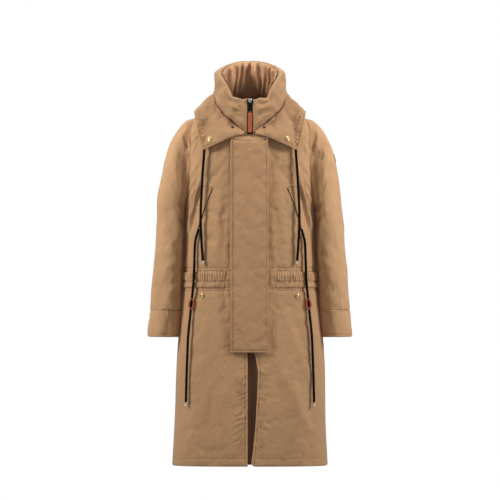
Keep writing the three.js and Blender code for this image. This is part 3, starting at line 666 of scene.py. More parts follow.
CAMEL = srgb(184, 142, 101)
SHELL_CLOTH = cloth_material("shell_cloth", CAMEL)
# The sleeves and cuffs are the shell's camel cloth painted lighter: painted light, where the lamps leave them
# darker than the chest.
SLEEVE_CLOTH_PAINTED_LIGHT = cloth_material("sleeve_cloth", srgb(192, 149, 107))
# The placket is the shell's camel cloth painted darker: painted shade on the front-facing flap.
PLACKET_CLOTH_PAINTED_SHADE = cloth_material("placket_cloth", srgb(175, 134, 95))
# The cape and stand collar are the shell's camel cloth painted darker: painted shade.
CAPE_CLOTH_PAINTED_SHADE = cloth_material("cape_cloth", srgb(168, 129, 91), crinkle=0.32)
LINING_CLOTH = cloth_material("lining_cloth", srgb(138, 94, 60), roughness=0.5, crinkle=0.2, sheen=0.05)
# The collar's lining is painted dark low down and light near the rim: painted shade deep inside the collar, and
# painted light where the front lamps reach.
NECK_LINING_PAINTED_SHADE = painted_shade_by_height("neck_lining", srgb(98, 59, 35), srgb(204, 158, 118), -0.02, 0.12)
# A dark brown that paints shade in recesses: the facing behind the zip and slit is the shell's cloth in shadow, and
# the strip along the neck seam stands for the shadow in that gap.
RECESS_SHADE_CLOTH = cloth_material("facing_cloth", srgb(104, 70, 46), crinkle=0.2)
# A near-black strip that paints the shadow in a chest pocket's mouth, under the welt's lip.
POCKET_SHADOW_CLOTH = cloth_material("pocket_cloth", srgb(60, 38, 25), crinkle=0.1, sheen=0.05)
# The stitching thread is coloured darker than the cloth, as painted shade in the stitched seams.
SEAM_SHADE_THREAD = cloth_material("thread", srgb(132, 98, 68), crinkle=0.0, pitch=0.0004)
TAPE = cloth_material("zip_tape", srgb(26, 25, 24), crinkle=0.1, pitch=0.0012, sheen=0.1)
CORD = cord_material("cord", srgb(5, 4, 4))
LEATHER = leather_material("leather", srgb(172, 84, 38))
LEATHER_DARK = leather_material("leather_dark", srgb(158, 66, 28))
GOLD = metal_material("gold", srgb(188, 160, 108), 0.32)
SILVER = metal_material("silver", srgb(214, 214, 210), 0.25)
BLACK_METAL = metal_material("black_metal", srgb(40, 39, 38), 0.35)
# A near-black disc in each eyelet: painted shadow in the hole.
HOLE = new_material("eyelet_hole", srgb(18, 15, 13), 0.9)[0]


# ---- Camera, floor and light --------------------------------------------------------------

MIDDLE_HEIGHT = 644
CAMERA_DISTANCE = 20.0  # metres
FOCAL_LENGTH, SENSOR_WIDTH = 480.0, 36  # millimetres
FLOOR_Z, FLOOR_RADIUS, FLOOR_SIDES, FLOOR_GREY, FLOOR_GLOW = -450, 6000, 96, 120, 0.72
WORLD_LIGHT = 0.33
LIGHT_TARGET = (0, 0, -0.1)
LIGHTS = {  # place and size in metres, power in watts, beam in degrees
    "light_left": ((-3.1, -1.25, 1.4), 1.1, 13.8, 60),
    "light_right": ((3.1, -1.25, 1.3), 1.1, 13.8, 60),
    "light_top": ((0, 0.1, 3.1), 1.6, 4.2, 60),
    "light_back": ((0, 3.4, 1.6), 2.6, 60, 180),
}


def make_camera():
    data = bpy.data.cameras.new("camera")
    data.lens, data.sensor_width = FOCAL_LENGTH, SENSOR_WIDTH
    data.clip_start, data.clip_end = 0.1, 100
    camera = add_object("camera", data)
    camera.location = (0, -CAMERA_DISTANCE, (MIDDLE_HEIGHT - ORIGIN[2]) / 1000)
    camera.rotation_euler = (math.radians(90), 0, 0)
    bpy.context.scene.camera = camera


def make_floor():
    """A pale disc that glows a little, so that it looks the same from every side."""
    ring = np.linspace(0, 2 * math.pi, FLOOR_SIDES, endpoint=False)
    height = np.full_like(ring, FLOOR_Z)
    points = np.stack([FLOOR_RADIUS * np.cos(ring), FLOOR_RADIUS * np.sin(ring), height], axis=-1)
    grey = srgb(FLOOR_GREY, FLOOR_GREY, FLOOR_GREY)
    material, tree, shader = new_material("floor", grey, 0.9)
    shader.inputs["Emission Color"].default_value = (1, 1, 1, 1)
    shader.inputs["Emission Strength"].default_value = FLOOR_GLOW
    mottle(tree, shader, grey, 3.0, 0.99, 1.0)
    floor = mesh_object("floor", points, [range(FLOOR_SIDES)], material, smooth_faces=False)
    floor.visible_diffuse = False


def area_light(name, place, size, power, beam):
    data = bpy.data.lights.new(name, "AREA")
    data.shape, data.size, data.energy, data.spread = "DISK", size, power, math.radians(beam)
    light = add_object(name, data)
    light.location = place
    light.rotation_euler = (Vector(LIGHT_TARGET) - Vector(place)).to_track_quat("-Z", "Y").to_euler()


def make_light():
    """A white studio: even light from all round, and soft lights beside, above and behind."""
    world = bpy.data.worlds.new("studio")
    bpy.context.scene.world = world
    world.use_nodes = True
    tree = world.node_tree
    background = tree.nodes["Background"]
    seen = tree.nodes.new("ShaderNodeLightPath")
    strength = tree.nodes.new("ShaderNodeMapRange")
    strength.inputs["To Min"].default_value = WORLD_LIGHT
    strength.inputs["To Max"].default_value = 1.0
    background.inputs["Color"].default_value = (1, 1, 1, 1)
    tree.links.new(seen.outputs["Is Camera Ray"], strength.inputs["Value"])
    tree.links.new(strength.outputs["Result"], background.inputs["Strength"])
    for name, settings in LIGHTS.items():
        area_light(name, *settings)
    bpy.context.scene.view_settings.view_transform = "Standard"


# ---- Small shapes -------------------------------------------------------------------------


def frame_along(normal, hint=(0, 0, 1)):
    """Three unit axes, the last along the normal."""
    normal = np.asarray(normal, float) / np.linalg.norm(normal)
    side = np.cross(np.asarray(hint, float), normal)
    side = side / np.linalg.norm(side) if np.linalg.norm(side) > 1e-6 else np.array([1.0, 0, 0])
    return side, np.cross(normal, side), normal


def lathe(name, profile, place, normal, material, segments=28):
    """A turned piece, whose profile is pairs of radius and height along the normal."""
    side, up, axis = frame_along(normal)
    ring = np.linspace(0, 2 * math.pi, segments, endpoint=False)
    grid = np.array([
        [place + r * (math.cos(a) * side + math.sin(a) * up) + h * axis for a in ring] for r, h in profile
    ])
    faces = grid_faces(len(profile), segments, True)
    return mesh_object(name, grid.reshape(-1, 3), faces, material)


def sweep(name, path, section, material, hint=(0, 0, 1), closed=True):
    """A section, given as pairs across and up, drawn along a path of points."""
    path = np.asarray(path, float)
    tangent = np.gradient(path, axis=0)
    grid = []
    for point, direction in zip(path, tangent):
        side, up, _ = frame_along(direction, hint)
        grid.append([point + a * side + b * up for a, b in section])
    grid = np.array(grid)
    rows, columns = grid.shape[:2]
    faces = [list(f) for f in grid_faces(rows, columns, closed)]
    faces += [list(range(columns))[::-1], list(range((rows - 1) * columns, rows * columns))]
    return mesh_object(name, grid.reshape(-1, 3), faces, material)


def oval(half_x, half_y, count=16, power=1.0):
    angle = np.linspace(0, 2 * math.pi, count, endpoint=False)
    c, s = np.cos(angle), np.sin(angle)
    return [
        (half_x * np.sign(a) * abs(a) ** power, half_y * np.sign(b) * abs(b) ** power)
        for a, b in zip(c, s)
    ]


def rounded_box(name, low, high, radius, material, bends=2):
    """A box on the leaning plane, with its corners and edges rounded."""
    low, high = np.array(low, float), np.array(high, float)
    mesh = bpy.data.meshes.new(name)
    corners = [[(low, high)[k >> axis & 1][axis] for axis in range(3)] for k in range(8)]
    faces = [(0, 2, 3, 1), (4, 5, 7, 6), (0, 1, 5, 4), (2, 6, 7, 3), (0, 4, 6, 2), (1, 3, 7, 5)]
    placed = leaning(*np.array(corners).T)
    mesh.from_pydata(to_frame(placed).tolist(), [], faces)
    mesh.materials.append(material)
    made = add_object(name, mesh)
    bevel_edges(made, radius, bends)
    return made


def bevel_edges(made, radius, bends):
    modifier = made.modifiers.new("bevel", "BEVEL")
    modifier.width, modifier.segments, modifier.limit_method = radius / 1000, bends, "NONE"
    data = bpy.data.meshes.new_from_object(made.evaluated_get(bpy.context.evaluated_depsgraph_get()))
    made.modifiers.clear()
    made.data = data
    data.polygons.foreach_set("use_smooth", [True] * len(data.polygons))


def join(name, *objects):
    """One piece made of several, which keep their own materials."""
    first = objects[0]
    with bpy.context.temp_override(active_object=first, selected_editable_objects=list(objects)):
        bpy.ops.object.join()
    first.name = first.data.name = name
    return first


class Stitching:
    """The thread of one piece's seams, gathered up so that it becomes one mesh."""

    LENGTH, GAP, HALF_WIDTH, RISE = 2.7, 1.1, 0.32, 0.4

    def __init__(self):
        self.points, self.faces = [], []

    def add(self, path, outward, lift=0.25):
        """Stitches along a path, which lie on a surface with these outward directions."""
        path, outward = np.asarray(path, float), np.asarray(outward, float)
        length = np.concatenate([[0], np.cumsum(np.linalg.norm(np.diff(path, axis=0), axis=1))])
        starts = np.arange(0.5, length[-1] - self.LENGTH, self.LENGTH + self.GAP)
        if not len(starts):
            return

        def at(places, values):
            return np.stack([np.interp(places, length, values[:, k]) for k in range(3)], axis=-1)

        a, b = at(starts, path), at(starts + self.LENGTH, path)
        n = at(starts + self.LENGTH / 2, outward)
        n /= np.linalg.norm(n, axis=1, keepdims=True)
        a, b = a + lift * n, b + lift * n
        middle = (a + b) / 2
        side = np.cross(b - a, n)
        side /= np.maximum(np.linalg.norm(side, axis=1, keepdims=True), 1e-9)
        corners = np.stack([
            a, b, middle + self.HALF_WIDTH * side, middle - self.HALF_WIDTH * side,
            middle + self.RISE * n, middle - self.RISE * n,
        ], axis=1)
        faces = np.array(
            [(0, 4, 2), (2, 4, 1), (1, 4, 3), (3, 4, 0), (0, 2, 5), (2, 1, 5), (1, 3, 5), (3, 0, 5)]
        )
        first = sum(len(p) for p in self.points)
        self.faces += [faces + first + 6 * k for k in range(len(starts))]
        self.points.append(corners.reshape(-1, 3))

    def rows(self, grid, outward, indices):
        for k in indices:
            self.add(grid[k], outward[k])

    def columns(self, grid, outward, indices):
        self.rows(grid.swapaxes(0, 1), outward.swapaxes(0, 1), indices)

    def piece(self, name):
        return mesh_object(name, np.vstack(self.points), np.vstack(self.faces)[:, ::-1], SEAM_SHADE_THREAD)


# ---- Torso --------------------------------------------------------------------------------

BODY_CORE = core_at(10.0)
WAIST_LINES = (590, 581, 530, 523)
HEM_LINE = 23
EDGE_LINE = 8.5  # the stitched line beside a front edge
BODY_ROWS = spread(ARMHOLE_Z - ARMHOLE_HALF_HEIGHT, 4.6, fine_end=False, lines=(HEM_LINE, *WAIST_LINES))
ARMHOLE_ROWS = ARMHOLE_Z - ARMHOLE_HALF_HEIGHT * np.cos(np.linspace(0, math.pi, 64)[1:])
NECK_ROWS = np.linspace(ARMHOLE_Z + ARMHOLE_HALF_HEIGHT, NECK_SIDE_Z, 8)[1:]
ROWS = np.concatenate([BODY_ROWS, ARMHOLE_ROWS, NECK_ROWS])
LINING_BOTTOM, LINING_TOP, LINING_THICKNESS = 30, 1050, 1.6
SIDE_REACH = 290  # millimetres for a whole turn beside an armhole
# height, and how far the left front's edge is from the centre there, along the open slit
SLIT_EDGE = ([0, 25, 60, 100, 150, 230, 280, 320, 345], [4, 6, 10, 14, 18, 22, 24, 17, 11])
# distance from the centre, and the height of the hip pocket's stitched line there
HIP_LINE = ([52, 70, 90, 112, 139, 142], [512, 508, 502, 496, 483, 483])
# each fold's two ends in (x, z), its width and its height
CHEST_FOLDS = [
    ((152, 850), (188, 690), 6, 4.5), ((145, 846), (180, 690), 5, -4.0), ((160, 862), (194, 805), 5, 3.2),
    ((170, 818), (197, 762), 5, 3.4), ((160, 840), (180, 742), 5, -3.4), ((143, 850), (168, 700), 7, -2.6),
    ((150, 905), (188, 858), 7, 2.4), ((154, 989), (178, 960), 4, 3.2), ((160, 1004), (184, 978), 4, 2.6),
    ((158, 975), (172, 930), 6, 2.0), ((176, 985), (186, 925), 5, -3.0), ((176, 760), (192, 660), 7, 3.0),
    ((120, 935), (150, 850), 12, 1.6), ((80, 900), (118, 845), 16, -1.8), ((90, 820), (104, 640), 16, 1.6),
    ((66, 760), (70, 610), 10, 1.4),
]
FOLD_WIDTH, FOLD_HEIGHT = 0.65, 1.35


def front_edge_x(side, z):
    """How far a front edge is from the centre: beside the zip, and along the open slit."""
    if side < 0:
        return 7.0 + smooth(z, 330, 350)
    return lerp(np.interp(z, *SLIT_EDGE), 9.0, smooth(z, 335, 350))


def quiet_sides(points):
    """1 over the front and back, falling to a little at the sides, which hang straight."""
    return 1 - 0.85 * smooth(np.abs(points[..., 0]) / half_width(points[..., 2]), 0.78, 0.95)


def body_relief(points):
    """Folds, puckers and stitched lines of a torso panel, as heights above its surface."""
    x, z = np.abs(points[..., 0]), points[..., 2]
    on_front = smooth(-points[..., 1], -20, 30)
    on_left = points[..., 0] > 0
    relief = 2.0 * noise(points, (150, 150, 240), 11)
    relief += smooth(560 - z, 40, 420) * 3.0 * noise(points, (95, 95, 900), 12)
    relief += 0.6 * noise(points, (36, 36, 70), 13) + 0.3 * noise(points, (17, 17, 26), 14)
    relief *= quiet_sides(points)
    drape = fold(x, z, (75, 330), (195, 60), 17, 5.0) + fold(x, z, (100, 470), (175, 250), 12, 2.5)
    relief += drape * np.where(on_left, 1.0, 0.3)
    relief += np.where(on_left, 9.0, 5.0) * smooth(x, 140, 205) * bell(z - 320, 150)
    chest = np.zeros_like(relief)
    for start, end, width, height in CHEST_FOLDS:
        chest += fold(x, z, start, end, FOLD_WIDTH * width, FOLD_HEIGHT * height)
    relief += on_front * chest * (1 - 0.85 * smooth(x / half_width(z), 0.88, 0.99))
    for line in WAIST_LINES:
        relief += groove(z - line, 1.5)
    gathers = np.sin(points[..., 0] / 1.9 + 2.2 * noise(points, (40, 40, 60), 15))
    relief += bell(z - 565, 40) * 0.9 * gathers
    relief += groove(z - HEM_LINE, 0.5)
    upright = on_front * smooth(x, 56, 60) * smooth(75 - x, 0, 3) * smooth(z, 500, 512) * smooth(600 - z, 0, 6)
    relief += upright * (1.8 + 0.8 * np.sin(z / 2.2 + 2 * noise(points, (30, 30, 30), 17)))
    return relief + on_front * smooth(145 - x, 0, 4) * groove(z - np.interp(x, *HIP_LINE), 0.9)


def front_relief(points, side, from_front):
    """A front panel's relief: puckers beside the slit and the placket, and flat under the placket."""
    x, z = np.abs(points[..., 0]), points[..., 2]
    relief = body_relief(points) + groove(from_front - EDGE_LINE, 1.2)
    slit = smooth(z, 20, 70) * smooth(330 - z, 0, 60)
    waves = np.sin(2 * math.pi * (z * 0.93 + from_front * 0.75) / 15 + 3 * noise(points, (60, 60, 60), 21 + side))
    window = smooth(from_front, 5, 13) * smooth(52 - from_front, 0, 34)
    strength = 0.5 + 0.5 * noise(points, (70, 70, 60), 25 + side)
    relief += 3.4 * slit * window * np.clip(strength, 0, 1) * waves
    beside_flap = smooth(x, 53, 60) * smooth(92 - x, 0, 30)
    lines = np.sin((z - 0.9 * x) / 2.3 + 3 * noise(points, (50, 50, 70), 28 + side))
    along_flap = smooth(z, 350, 420) * smooth(800 - z, 0, 120)
    relief += 1.5 * beside_flap * along_flap * np.clip(noise(points, (60, 60, 90), 27 + side), 0, 1) * lines
    under_flap = smooth(62 - x, 0, 8) * smooth(z, 330, 345)
    return relief * (1 - 0.85 * under_flap) + (0.8 if side > 0 else -0.5) * under_flap


def on_lines(v):
    """Whether a place is on one of the stitched lines that go round the coat."""
    return sum(abs(v * NECK_SIDE_Z - line) < 6 for line in (*WAIST_LINES, HEM_LINE)) > 0


def front_pins(u, v, points):
    under_flap = (np.abs(points[..., 0]) < 56) & (points[..., 2] > 340)
    return held_at(0.02, 0.97, 0.012, 0.9)(u, v, points) | on_lines(v) | under_flap


def back_pins(u, v, points):
    return held_at(0.015, 0.985, 0.012, 0.94)(u, v, points) | on_lines(v) | (abs(u - 0.5) < 0.012)


def shell_outside(points, normal, relief, edge, from_side, shift):
    """A panel's outside, which sinks at its free edges and a little at its sewn side."""
    sink = np.maximum(SHELL / 2 * (1 - rounded(edge, 5)), 2.2 * (1 - rounded(from_side, 5)))
    return points + normal * (relief * rounded(edge, 9) - sink)[..., None] + shift


def sewn_thickness(from_side):
    return SHELL - (SHELL - 2.6) * (1 - rounded(from_side, 7))


def front_panel(name, side):
    edge_x = front_edge_x(side, ROWS)
    start = turn_at_x(edge_x, ROWS)
    end = 1 - armhole_turn(ROWS)
    near = spread(60, 4, fine_end=False, lines=(EDGE_LINE,))
    near_turn = turn_at_x(edge_x[:, None] + near[None, :], ROWS[:, None])
    rest = np.concatenate([np.linspace(0, 1, 76)[1:-1], 1 - np.array([0.012, 0.005, 0.0015]), [1.0]])
    rest_turn = lerp(near_turn[:, -1:], end[:, None], rest[None, :])
    turn = np.concatenate([near_turn, rest_turn], axis=1)
    u = (turn - start[:, None]) / (end - start)[:, None]
    v = np.broadcast_to(ROWS[:, None] / NECK_SIDE_Z, u.shape)

    def surface(u, v):
        row = np.clip(v, 0, 1) * NECK_SIDE_Z
        first = turn_at_x(front_edge_x(side, row), row)
        return torso(side * lerp(first, 1 - armhole_turn(row), np.clip(u, 0, 1)), row)

    points, normal = normals(surface, u, v, BODY_CORE)
    from_front = np.abs(points[..., 0]) - edge_x[:, None]
    from_side = (end[:, None] - turn) * SIDE_REACH
    edge = np.minimum(from_front, points[..., 2])
    shift = loosened(surface, BODY_CORE, (150, 36), front_pins, (0.35, 0.006, 1.1), np.clip(u, 0, 1), v)
    shift = shift * quiet_sides(points)[..., None]
    outer = shell_outside(points, normal, front_relief(points, side, from_front), edge, from_side, shift)
    under = np.maximum(SHELL / 2 * rounded(edge, 5), 0.2)
    under = np.minimum(under + SHELL / 2, sewn_thickness(from_side))
    inner = points - normal * under[..., None]
    if side > 0:
        # the lower corner beside the slit is rounded
        corner = 12 - np.sqrt(np.maximum(144 - (12 - np.clip(from_front, 0, 12)) ** 2, 0))
        rise = upward(corner * smooth(40 - points[..., 2], 0, 40))
        outer, inner = outer + rise, inner + rise
    piece = layered(name + "_front", outer, inner, False, SHELL_CLOTH)
    thread = Stitching()
    thread.rows(outer, normal, [nearest(ROWS, HEM_LINE)])
    outside_flap = nearest(near, 62)
    for line in WAIST_LINES:
        row = nearest(ROWS, line)
        thread.add(outer[row, outside_flap:], normal[row, outside_flap:])
    top = nearest(ROWS, SLIT_TOP)
    thread.columns(outer[:top], normal[:top], [nearest(near, EDGE_LINE)])
    stitches = thread.piece(name + "_front_stitching")
    return piece, stitches, {"turn": turn, "outer": outer, "normal": normal}


def back_panel():
    reach = 1 - armhole_turn(ROWS)
    fine_end = 1 - np.array([0.008, 0.003, 0.001])
    half = np.concatenate([[0, 0.012, 0.03], np.linspace(0.05, 1, 50)[:-1], fine_end, [1.0]])
    across = np.concatenate([-half[:0:-1], half])
    u = np.broadcast_to((across[None, :] + 1) / 2, (len(ROWS), len(across)))
    v = np.broadcast_to(ROWS[:, None] / NECK_SIDE_Z, u.shape)

    def surface(u, v):
        row = np.clip(v, 0, 1) * NECK_SIDE_Z
        away = (2 * np.clip(u, 0, 1) - 1) * (1 - armhole_turn(row))
        return torso(np.where(away < 0, -2 - away, 2 - away), row)

    points, normal = normals(surface, u, v, BODY_CORE)
    from_side = (1 - np.abs(across))[None, :] * reach[:, None] * SIDE_REACH
    edge = points[..., 2]
    relief = body_relief(points) + groove(points[..., 0], 1.6, 1.8)
    shift = loosened(surface, BODY_CORE, (150, 70), back_pins, (0.35, 0.006, 1.1), u, v)
    outer = shell_outside(points, normal, relief, edge, from_side, shift * quiet_sides(points)[..., None])
    under = np.minimum(SHELL / 2 * (1 + rounded(edge, 5)) + 0.2, sewn_thickness(from_side))
    piece = layered("back", outer, points - normal * under[..., None], False, SHELL_CLOTH)
    thread = Stitching()
    thread.rows(outer, normal, [nearest(ROWS, line) for line in (HEM_LINE, *WAIST_LINES)])
    middle = len(across) // 2
    thread.columns(outer, normal, [middle - 1, middle + 1])
    return piece, thread.piece("back_stitching")


def torso_lining(name, first, last, columns):
    """A thin lining inside the padded shell, between two turns, which an armhole may cut."""
    rows = np.concatenate([np.linspace(LINING_BOTTOM, 760, 60), ARMHOLE_ROWS[:-1:2], [LINING_TOP]])
    v = np.broadcast_to(rows[:, None], (len(rows), columns))
    u = np.broadcast_to(np.linspace(0, 1, columns)[None, :], v.shape)

    def surface(u, v):
        row = lerp(LINING_BOTTOM, LINING_TOP, v)
        turn = lerp(first(row), last(row), np.clip(u, 0, 1))
        return torso(np.where(turn > 2, turn - 4, turn), row)

    points, normal = normals(surface, u, (v - LINING_BOTTOM) / (LINING_TOP - LINING_BOTTOM), BODY_CORE)
    waves = 1.2 * noise(points, (60, 60, 300), 31) + 0.4 * noise(points, (22, 22, 40), 32)
    outer = points - normal * (SHELL + 4.0 - np.minimum(waves, 1.5))[..., None]
    return layered(name, outer, outer - normal * LINING_THICKNESS, False, LINING_CLOTH)


def make_front(name, side):
    piece, stitches, surface = front_panel(name, side)
    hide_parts(f"{name}_front_panel")
    belong((piece, stitches))
    lining = torso_lining(
        f"{name}_front_inside",
        lambda row: side * turn_at_x(np.full_like(row, 36.0), row),
        lambda row: side * (0.998 - armhole_turn(row)),
        30,
    )
    stand_for(lining, f"{name}_front_lining")
    return surface


def make_back():
    piece, stitches = back_panel()
    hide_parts("back_panel")
    belong((piece, stitches))
    lining = torso_lining(
        "back_inside", lambda row: 1.002 + armhole_turn(row), lambda row: 2.998 - armhole_turn(row), 50
    )
    stand_for(lining, "back_lining")


# ---- Sleeves and cuffs --------------------------------------------------------------------

SLEEVE_LENGTH, SLEEVE_FREE_LENGTH, CUFF_HEIGHT = 620, 600, 80
SLEEVE_COLUMNS = 84
SLEEVE_FOLDS = [
    ((199, 985), (184, 940), 5, -6.0), ((206, 1000), (192, 950), 6, 3.0), ((190, 925), (200, 780), 5, -3.0),
    ((212, 850), (203, 700), 9, -3.0), ((232, 800), (214, 690), 9, 2.2), ((228, 905), (212, 820), 8, 2.0),
    ((195, 790), (197, 600), 6, -7.0), ((195, 660), (204, 480), 6, -5.0),
    ((189, 762), (215, 783), 4, -5.0), ((188, 717), (211, 741), 4, -5.0), ((190, 740), (214, 763), 5, 3.0),
    ((222, 690), (262, 640), 12, -2.0), ((212, 620), (250, 585), 10, 2.0), ((214, 560), (262, 520), 10, -1.8),
    ((250, 980), (262, 880), 14, 1.8), ((240, 700), (252, 480), 16, 2.0),
]


def tube_core(surface):
    """The middle of a tube at each height, from the mean of its rings."""
    angles = np.linspace(0, 1, 25)[:-1]
    rings = np.array([surface(angles, np.full_like(angles, t)).mean(axis=0) for t in np.linspace(0, 1, 41)])
    order = np.argsort(rings[:, 2])

    def core(points):
        z = points[..., 2]
        return np.stack([np.interp(z, rings[order, 2], rings[order, k]) for k in range(3)], axis=-1)

    return core


def round_grid(places, count):
    """The (v, u) grid of a tube, from places along it and a number of places round it."""
    return np.meshgrid(places, np.linspace(0, 1, count, endpoint=False), indexing="ij")


def blend_arm(piece):
    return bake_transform(piece)


def sleeve_pins(u, v, points):
    return (v < 0.03) | (v > 0.985) | (np.abs(u - 0.5) < 0.012)


def sleeve_relief(points, u, v, side, outline, from_cuff):
    x, z = np.abs(points[..., 0]), points[..., 2]
    on_front = smooth(-points[..., 1], -25, 15)
    relief = 2.6 * noise(points, (90, 90, 240), 41 + side) + 0.8 * noise(points, (34, 34, 48), 42 + side)
    relief += 0.4 * noise(points, (16, 16, 24), 43 + side)
    relief *= outline
    if side < 0:
        relief += 7.0 * bell(z - 795, 55) * smooth(np.cos(u * 2 * math.pi), 0, 1)
    for start, end, width, height in SLEEVE_FOLDS:
        relief += on_front * fold(x, z, start, end, width, height)
    relief += 2.2 * (1 - on_front) * smooth(v, 0.03, 0.3) * noise(points, (70, 70, 150), 44 + side)
    relief += groove(np.minimum(np.abs(u - 0.5), 1) * 260, 1.6, 1.8)
    gathers = np.sin(u * 2 * math.pi * 26 + 2 * noise(points, (60, 60, 60), 45))
    return relief + 0.7 * smooth(60 - from_cuff, 0, 60) * gathers


def make_sleeve(name, side):
    surface = sleeve_surface(side)
    core = tube_core(surface)
    places = [[0, 0.0015, 0.004, 0.008], np.linspace(0.013, 0.985, 138), [0.991, 0.996, 0.9985, 1]]
    v, u = round_grid(np.concatenate(places), SLEEVE_COLUMNS)
    points, normal = normals(surface, u, v, core)
    # the outermost and innermost lines hang straight, so their relief is less
    outline = 1 - 0.7 * smooth(np.abs(np.cos(u * 2 * math.pi)), 0.88, 0.99)
    from_armhole, from_cuff = v * SLEEVE_LENGTH, (1 - v) * SLEEVE_FREE_LENGTH
    relief = sleeve_relief(points, u, v, side, outline, from_cuff)
    shift = loosened(surface, core, (90, 48), sleeve_pins, (0.4, 0.008, 1.5), u, v, wraps=True)
    sink = np.maximum(2.2 * (1 - rounded(from_armhole, 5)), 2.4 * (1 - rounded(from_cuff, 4)))
    free = rounded(np.minimum(from_armhole, from_cuff), 6)
    outer = points + normal * (relief * free - sink)[..., None] + shift * outline[..., None]
    under = SHELL - (SHELL - 2.8) * (1 - free)
    piece = layered(name + "_sleeve_shell", outer, points - normal * under[..., None], True, SLEEVE_CLOTH_PAINTED_LIGHT)
    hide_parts(f"{name}_sleeve")
    blend_arm(piece)
    make_sleeve_lining(name, side, surface, core)
    return {"v": v[:, 0], "u": u[0], "outer": outer, "normal": normal}


def on_sleeve(sleeve, u, v):
    """Points and directions on a sleeve's finished surface, for u from -0.5 to 0.5."""
    half = len(sleeve["u"]) // 2
    around = np.concatenate([sleeve["u"][half:] - 1, sleeve["u"][:half]])
    found = []
    for key in ("outer", "normal"):
        grid = np.roll(sleeve[key], half, axis=1)
        found.append(np.zeros(u.shape + (3,)))
        for axis in range(3):
            lines = np.array([np.interp(v[:, 0], sleeve["v"], grid[:, k, axis]) for k in range(2 * half)])
            for row in range(len(v)):
                found[-1][row, :, axis] = np.interp(u[row], around, lines[:, row])
    return found


def make_sleeve_lining(name, side, surface, core):
    v, u = round_grid(np.linspace(0.08, 0.98, 70), 56)
    points, normal = normals(surface, u, v, core)
    waves = 1.4 * noise(points, (40, 40, 160), 51 + side)
    outer = points - normal * (SHELL + 5.2 - np.minimum(waves, 1.6))[..., None]
    lining = layered(name + "_sleeve_inside", outer, outer - normal * LINING_THICKNESS, True, LINING_CLOTH)
    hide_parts(f"{name}_sleeve_lining")
    blend_arm(lining)


def make_cuff(name, side):
    surface = cuff_surface(side)
    core = tube_core(surface)
    places = spread(CUFF_HEIGHT, 4, lines=(CUFF_HEIGHT - 7,)) / CUFF_HEIGHT
    v, u = round_grid(places, SLEEVE_COLUMNS)
    points, normal = normals(surface, u, v, core)
    to_seam, to_hem = v * CUFF_HEIGHT, (1 - v) * CUFF_HEIGHT
    relief = 1.6 * noise(points, (40, 40, 150), 61 + side) + 0.4 * noise(points, (16, 16, 26), 62 + side)
    relief += groove(to_hem - 7, 1.1) + 0.5 * np.sin(u * 2 * math.pi * 24) * smooth(26 - to_seam, 0, 26)
    sink = np.maximum(2.2 * (1 - rounded(to_seam, 4)), SHELL / 2 * (1 - rounded(to_hem, 5)))
    outer = points + normal * (relief * rounded(np.minimum(to_seam, to_hem), 5) - sink)[..., None]
    under = SHELL - (SHELL - 2.8) * (1 - rounded(to_seam, 5))
    under = np.minimum(under, SHELL / 2 * (1 + rounded(to_hem, 5)) + 0.2)
    piece = layered(name + "_cuff_shell", outer, points - normal * under[..., None], True, SLEEVE_CLOTH_PAINTED_LIGHT)
    thread = Stitching()
    lines = [nearest(places * CUFF_HEIGHT, distance) for distance in (2.5, CUFF_HEIGHT - 7)]
    thread.rows(np.hstack([outer, outer[:, :1]]), np.hstack([normal, normal[:, :1]]), lines)
    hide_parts(f"{name}_cuff")
    belong((piece, thread.piece(name + "_cuff_stitching")), f"{name}_arm")


# ---- Collars ------------------------------------------------------------------------------

COLLAR_CORE, CAPE_CORE = core_at(COLLAR_TOP["middle_y"]), core_at(0.0, -90.0)
COLLAR_LENGTH, COLLAR_HEIGHT = 560, 118
CAPE_LENGTH, CAPE_WIDTH = 880, 96
COLLAR_EDGE_LINE, CAPE_HEM_LINE = 6, 7
# the turn of each gather of the collar's lining
GATHER_TURNS = (0.55, 0.86, 1.02, 1.3, 1.52, 1.72, 1.86, 2.12, 2.3, 2.5, 2.74, 2.92, 3.18, 3.4)


def collar_relief(points, u, v, at_front):
    from_zip, from_rim = np.minimum(u, 1 - u) * COLLAR_LENGTH, (1 - v) * COLLAR_HEIGHT
    turn = collar_turn(u)
    relief = 1.2 * noise(points, (70, 70, 50), 71) + 0.5 * noise(points, (24, 24, 22), 72)
    # soft rolls that run round the front of the neck, and a plump rim
    roll_phase = (v - from_zip / 420) * 2 * math.pi * 3.1 + 0.9 * noise(points, (90, 90, 90), 73)
    rolls = 2.8 * np.cos(roll_phase) + 0.8 * np.cos(2.6 * roll_phase)
    relief += at_front * rolls * smooth(from_zip, 6, 30)
    relief += at_front * 4.0 * bell(v - 0.75, 0.3) * smooth(from_zip, 4, 46)
    relief += 4.0 * smooth(np.minimum(turn, 4 - turn), 0.35, 0.8) * smooth(v, 0.45, 0.8)
    # a deep seam where the cape is sewn on, and the roll above it
    above = points[..., 2] - np.interp(np.abs(points[..., 0]), *zip(*NECKLINE))
    on_front = points[..., 1] < -15
    relief -= on_front * 8.0 * bell(above, 7) * smooth(from_zip, 0, 12)
    relief += on_front * 4.0 * bell(above - 22, 14) * smooth(from_zip, 2, 24)
    gathers = np.sin(from_zip / 2.4 + 2.5 * noise(points, (40, 40, 200), 74))
    relief += 1.1 * gathers * smooth(22 - from_rim, 0, 20)
    return relief + groove(from_zip - COLLAR_EDGE_LINE, 1.2)


